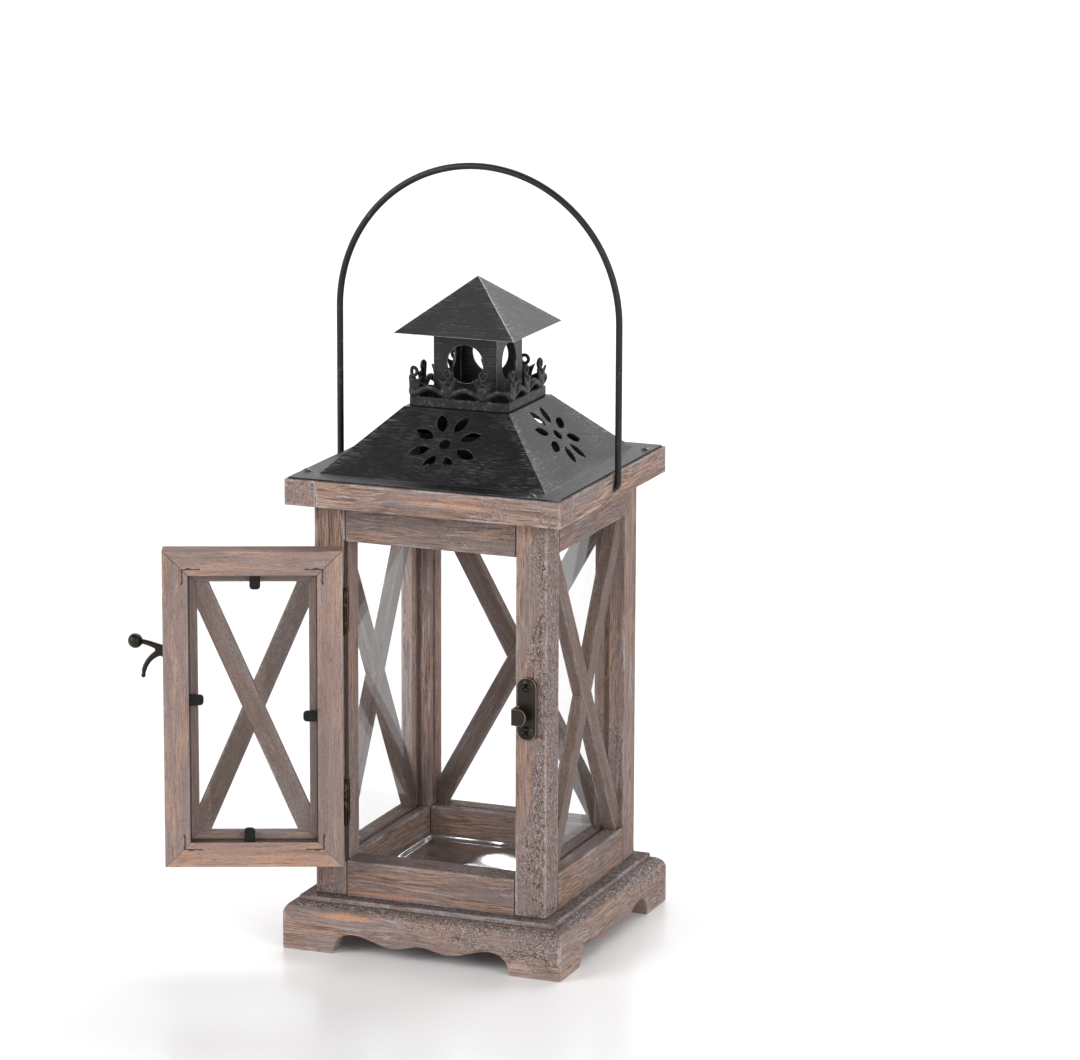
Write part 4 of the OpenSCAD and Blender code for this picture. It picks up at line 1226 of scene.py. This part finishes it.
class LANTERN_OT_bail(bpy.types.Operator):
    """Bend the wire bail"""
    bl_idname = "lantern.bail"
    bl_label = "Bail"

    LEG_STEPS = 10
    ARCH_STEPS = 40

    def execute(self, context):
        low, high = node_box("bail_handle")
        mid_y = (high.y + low.y) / 2
        radius = (high.y - low.y) / 2
        reach = high.x - radius
        leg_top = high.z - radius - reach
        bend = 2.2 * radius
        bend_x, leg_low = reach - bend, BAIL.z + bend
        end_x = 0.1 * MM + min(abs(v.co.x) for v in NODES["bail_handle"].data.vertices
                               if v.co.z < BAIL.z + radius * 1.2)
        # Half the wire from its end in the top frame to the middle of its arch
        half = [(end_x, BAIL.z), (bend_x, BAIL.z)]
        half += [(bend_x + bend * math.sin(a), leg_low - bend * math.cos(a))
                 for a in (math.radians(d) for d in (15, 30, 45, 60, 75, 90))]
        half += [(reach, leg_low + (leg_top - leg_low) * i / self.LEG_STEPS)
                 for i in range(1, self.LEG_STEPS + 1)]
        half += [(reach * math.cos(a), leg_top + reach * math.sin(a))
                 for a in (math.pi / 2 * i / self.ARCH_STEPS for i in range(1, self.ARCH_STEPS + 1))]
        points = [Vector((-x, mid_y, z)) for x, z in half]
        points += [Vector((x, mid_y, z)) for x, z in half[-2::-1]]
        piece = mesh_object("bail_handle_wire", *self.wire(points, radius))
        paint = painted_wire("bail_paint", context.scene.lantern_metal)
        finish_piece(piece, "bail", "bail_wire", paint, "bail_handle")
        return {"FINISHED"}

    @staticmethod
    def wire(points, radius, sides=20):
        """A round wire in the plane of the bail, a little thinner at its cut ends."""
        rings = []
        last = len(points) - 1
        side = Vector((0, 1, 0))
        for i, point in enumerate(points):
            along = (points[min(i + 1, last)] - points[max(i - 1, 0)]).normalized()
            up = side.cross(along).normalized()
            thick = radius * (0.75 if i in (0, last) else 1.0)
            rings.append([point + thick * (math.cos(a) * side + math.sin(a) * up)
                          for a in full_turn(sides)])
        return skin(rings, inward=True)


class LANTERN_OT_panes(bpy.types.Operator):
    """Finish the glass panes and the bright tray"""
    bl_idname = "lantern.panes"
    bl_label = "Panes and tray"

    def execute(self, context):
        metal = context.scene.lantern_metal
        glass = window_glass("clear_glass", metal)
        for node in ("right_glass", "rear_glass", "left_glass", "door_glass"):
            mesh = NODES[node].data
            mesh.materials.clear()
            mesh.materials.append(glass)
        piece = node_copy("floor_tray_sheet", "floor_tray", 0.2 * MM, 2)
        finish_piece(piece, "lantern", "tray_steel", bright_tray("tray_zinc", metal), "floor_tray")
        return {"FINISHED"}


# ---------------------------------------------------------------- stage

def aim(thing, place, target, roll=0.0):
    """Puts a camera or light at a place and turns it to a target."""
    direction = (target - place).normalized()
    thing.matrix_world = (Matrix.Translation(place)
                          @ direction.to_track_quat("-Z", "Y").to_matrix().to_4x4()
                          @ Matrix.Rotation(roll, 4, "Z"))


def soft_light(name, place, target, size, power):
    """A soft box of a size in metres and a power in watts, turned to a target."""
    lamp = bpy.data.lights.new(name, "AREA")
    lamp.shape = "RECTANGLE"
    lamp.size, lamp.size_y = size
    lamp.energy = power
    thing = bpy.data.objects.new(name, lamp)
    bpy.context.scene.collection.objects.link(thing)
    aim(thing, place, target)


class LANTERN_OT_stage(bpy.types.Operator):
    """Set up the pale floor, the soft light and the camera"""
    bl_idname = "lantern.stage"
    bl_label = "Stage"

    def execute(self, context):
        scene = context.scene
        stage = scene.lantern_stage
        self.floor(stage)
        self.light(scene, stage)
        self.camera(scene, stage)
        return {"FINISHED"}

    @staticmethod
    def floor(stage):
        """A pale floor that curves up into a backdrop; sizes are in metres."""
        front, back, rise, bend, half = -4.0, 3.2, 3.0, 1.0, 5.0
        steps = 16
        profile = [(front, 0.0), (back - bend, 0.0)]
        profile += [(back - bend + bend * math.sin(a), bend - bend * math.cos(a))
                    for a in (math.pi / 2 * i / steps for i in range(1, steps + 1))]
        profile.append((back, rise))
        points = [Vector((x, y, z)) for y, z in profile for x in (-half, half)]
        faces = [(2 * i, 2 * i + 1, 2 * i + 3, 2 * i + 2) for i in range(len(profile) - 1)]
        sweep = mesh_object("studio_floor", points, faces)
        sweep.data.materials.append(stage_floor("studio_floor", stage))

    @staticmethod
    def light(scene, stage):
        """White surroundings that darken overhead, two soft boxes and one on the backdrop."""
        recipe = Recipe("studio", "worlds")
        height = recipe.parts(recipe.node("ShaderNodeTexCoord", output="Generated"))[2]
        strength = stage.backdrop - height.step(0.3, 0.85) * (stage.backdrop - stage.overhead)
        glow = recipe.node("ShaderNodeBackground", inputs={"Color": (1, 1, 1), "Strength": strength})
        scene.world = recipe.surface("ShaderNodeOutputWorld", glow)
        middle = Vector((0, 0, 0.15))
        soft_light("key_light", Vector((-1.5, -1.7, 1.3)), middle, (1.4, 1.4), 34)
        soft_light("fill_light", Vector((2.1, -1.1, 1.0)), middle, (1.4, 1.4), 26)
        soft_light("floor_light", Vector((0, 1.9, 2.2)), Vector((0, 0.7, 0)), (3.0, 1.2), 56)
        scene.view_settings.view_transform = "Standard"

    @staticmethod
    def camera(scene, stage):
        """A long lens, turned and raised a little from the front."""
        data = bpy.data.cameras.new("camera")
        camera = bpy.data.objects.new("camera", data)
        scene.collection.objects.link(camera)
        data.sensor_width = 36.0
        data.lens = stage.lens
        data.clip_end = 50
        turn, rise = stage.view_turn, stage.view_rise
        back = Vector((math.sin(turn) * math.cos(rise), -math.cos(turn) * math.cos(rise),
                       math.sin(rise)))
        right = Vector((math.cos(turn), math.sin(turn), 0))
        target = right * stage.view_side + Vector((0, 0, stage.view_height))
        aim(camera, target + back * stage.view_distance, target, -stage.view_roll)
        scene.camera = camera


class LANTERN_PT_panel(bpy.types.Panel):
    """Sizes, colours and steps of the lantern"""
    bl_label = "Lantern"
    bl_idname = "LANTERN_PT_panel"
    bl_space_type = "VIEW_3D"
    bl_region_type = "UI"
    bl_category = "Lantern"

    def draw(self, context):
        layout = self.layout
        for group in (context.scene.lantern_wood, context.scene.lantern_metal,
                      context.scene.lantern_stage):
            box = layout.box()
            for name in group.__annotations__:
                box.prop(group, name)
        for step in STEPS:
            layout.operator(step.bl_idname)


GROUPS = (LanternWood, LanternMetal, LanternStage)
STEPS = (LANTERN_OT_boards, LANTERN_OT_door_frame, LANTERN_OT_slats, LANTERN_OT_roof, LANTERN_OT_gallery,
         LANTERN_OT_hinges, LANTERN_OT_latch, LANTERN_OT_clips, LANTERN_OT_bail,
         LANTERN_OT_panes, LANTERN_OT_stage)
CLASSES = (*GROUPS, *STEPS, LANTERN_PT_panel)


def register():
    """Makes the groups, the steps and the panel known to Blender."""
    for cls in CLASSES:
        bpy.utils.register_class(cls)
    bpy.types.Scene.lantern_wood = PointerProperty(type=LanternWood)
    bpy.types.Scene.lantern_metal = PointerProperty(type=LanternMetal)
    bpy.types.Scene.lantern_stage = PointerProperty(type=LanternStage)


def unregister():
    """Takes back what register does."""
    del bpy.types.Scene.lantern_stage
    del bpy.types.Scene.lantern_metal
    del bpy.types.Scene.lantern_wood
    for cls in reversed(CLASSES):
        bpy.utils.unregister_class(cls)


def main():
    """Registers the add-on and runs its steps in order."""
    register()
    for step in STEPS:
        group, name = step.bl_idname.split(".")
        getattr(getattr(bpy.ops, group), name)()


if __name__ == "__main__":
    main()
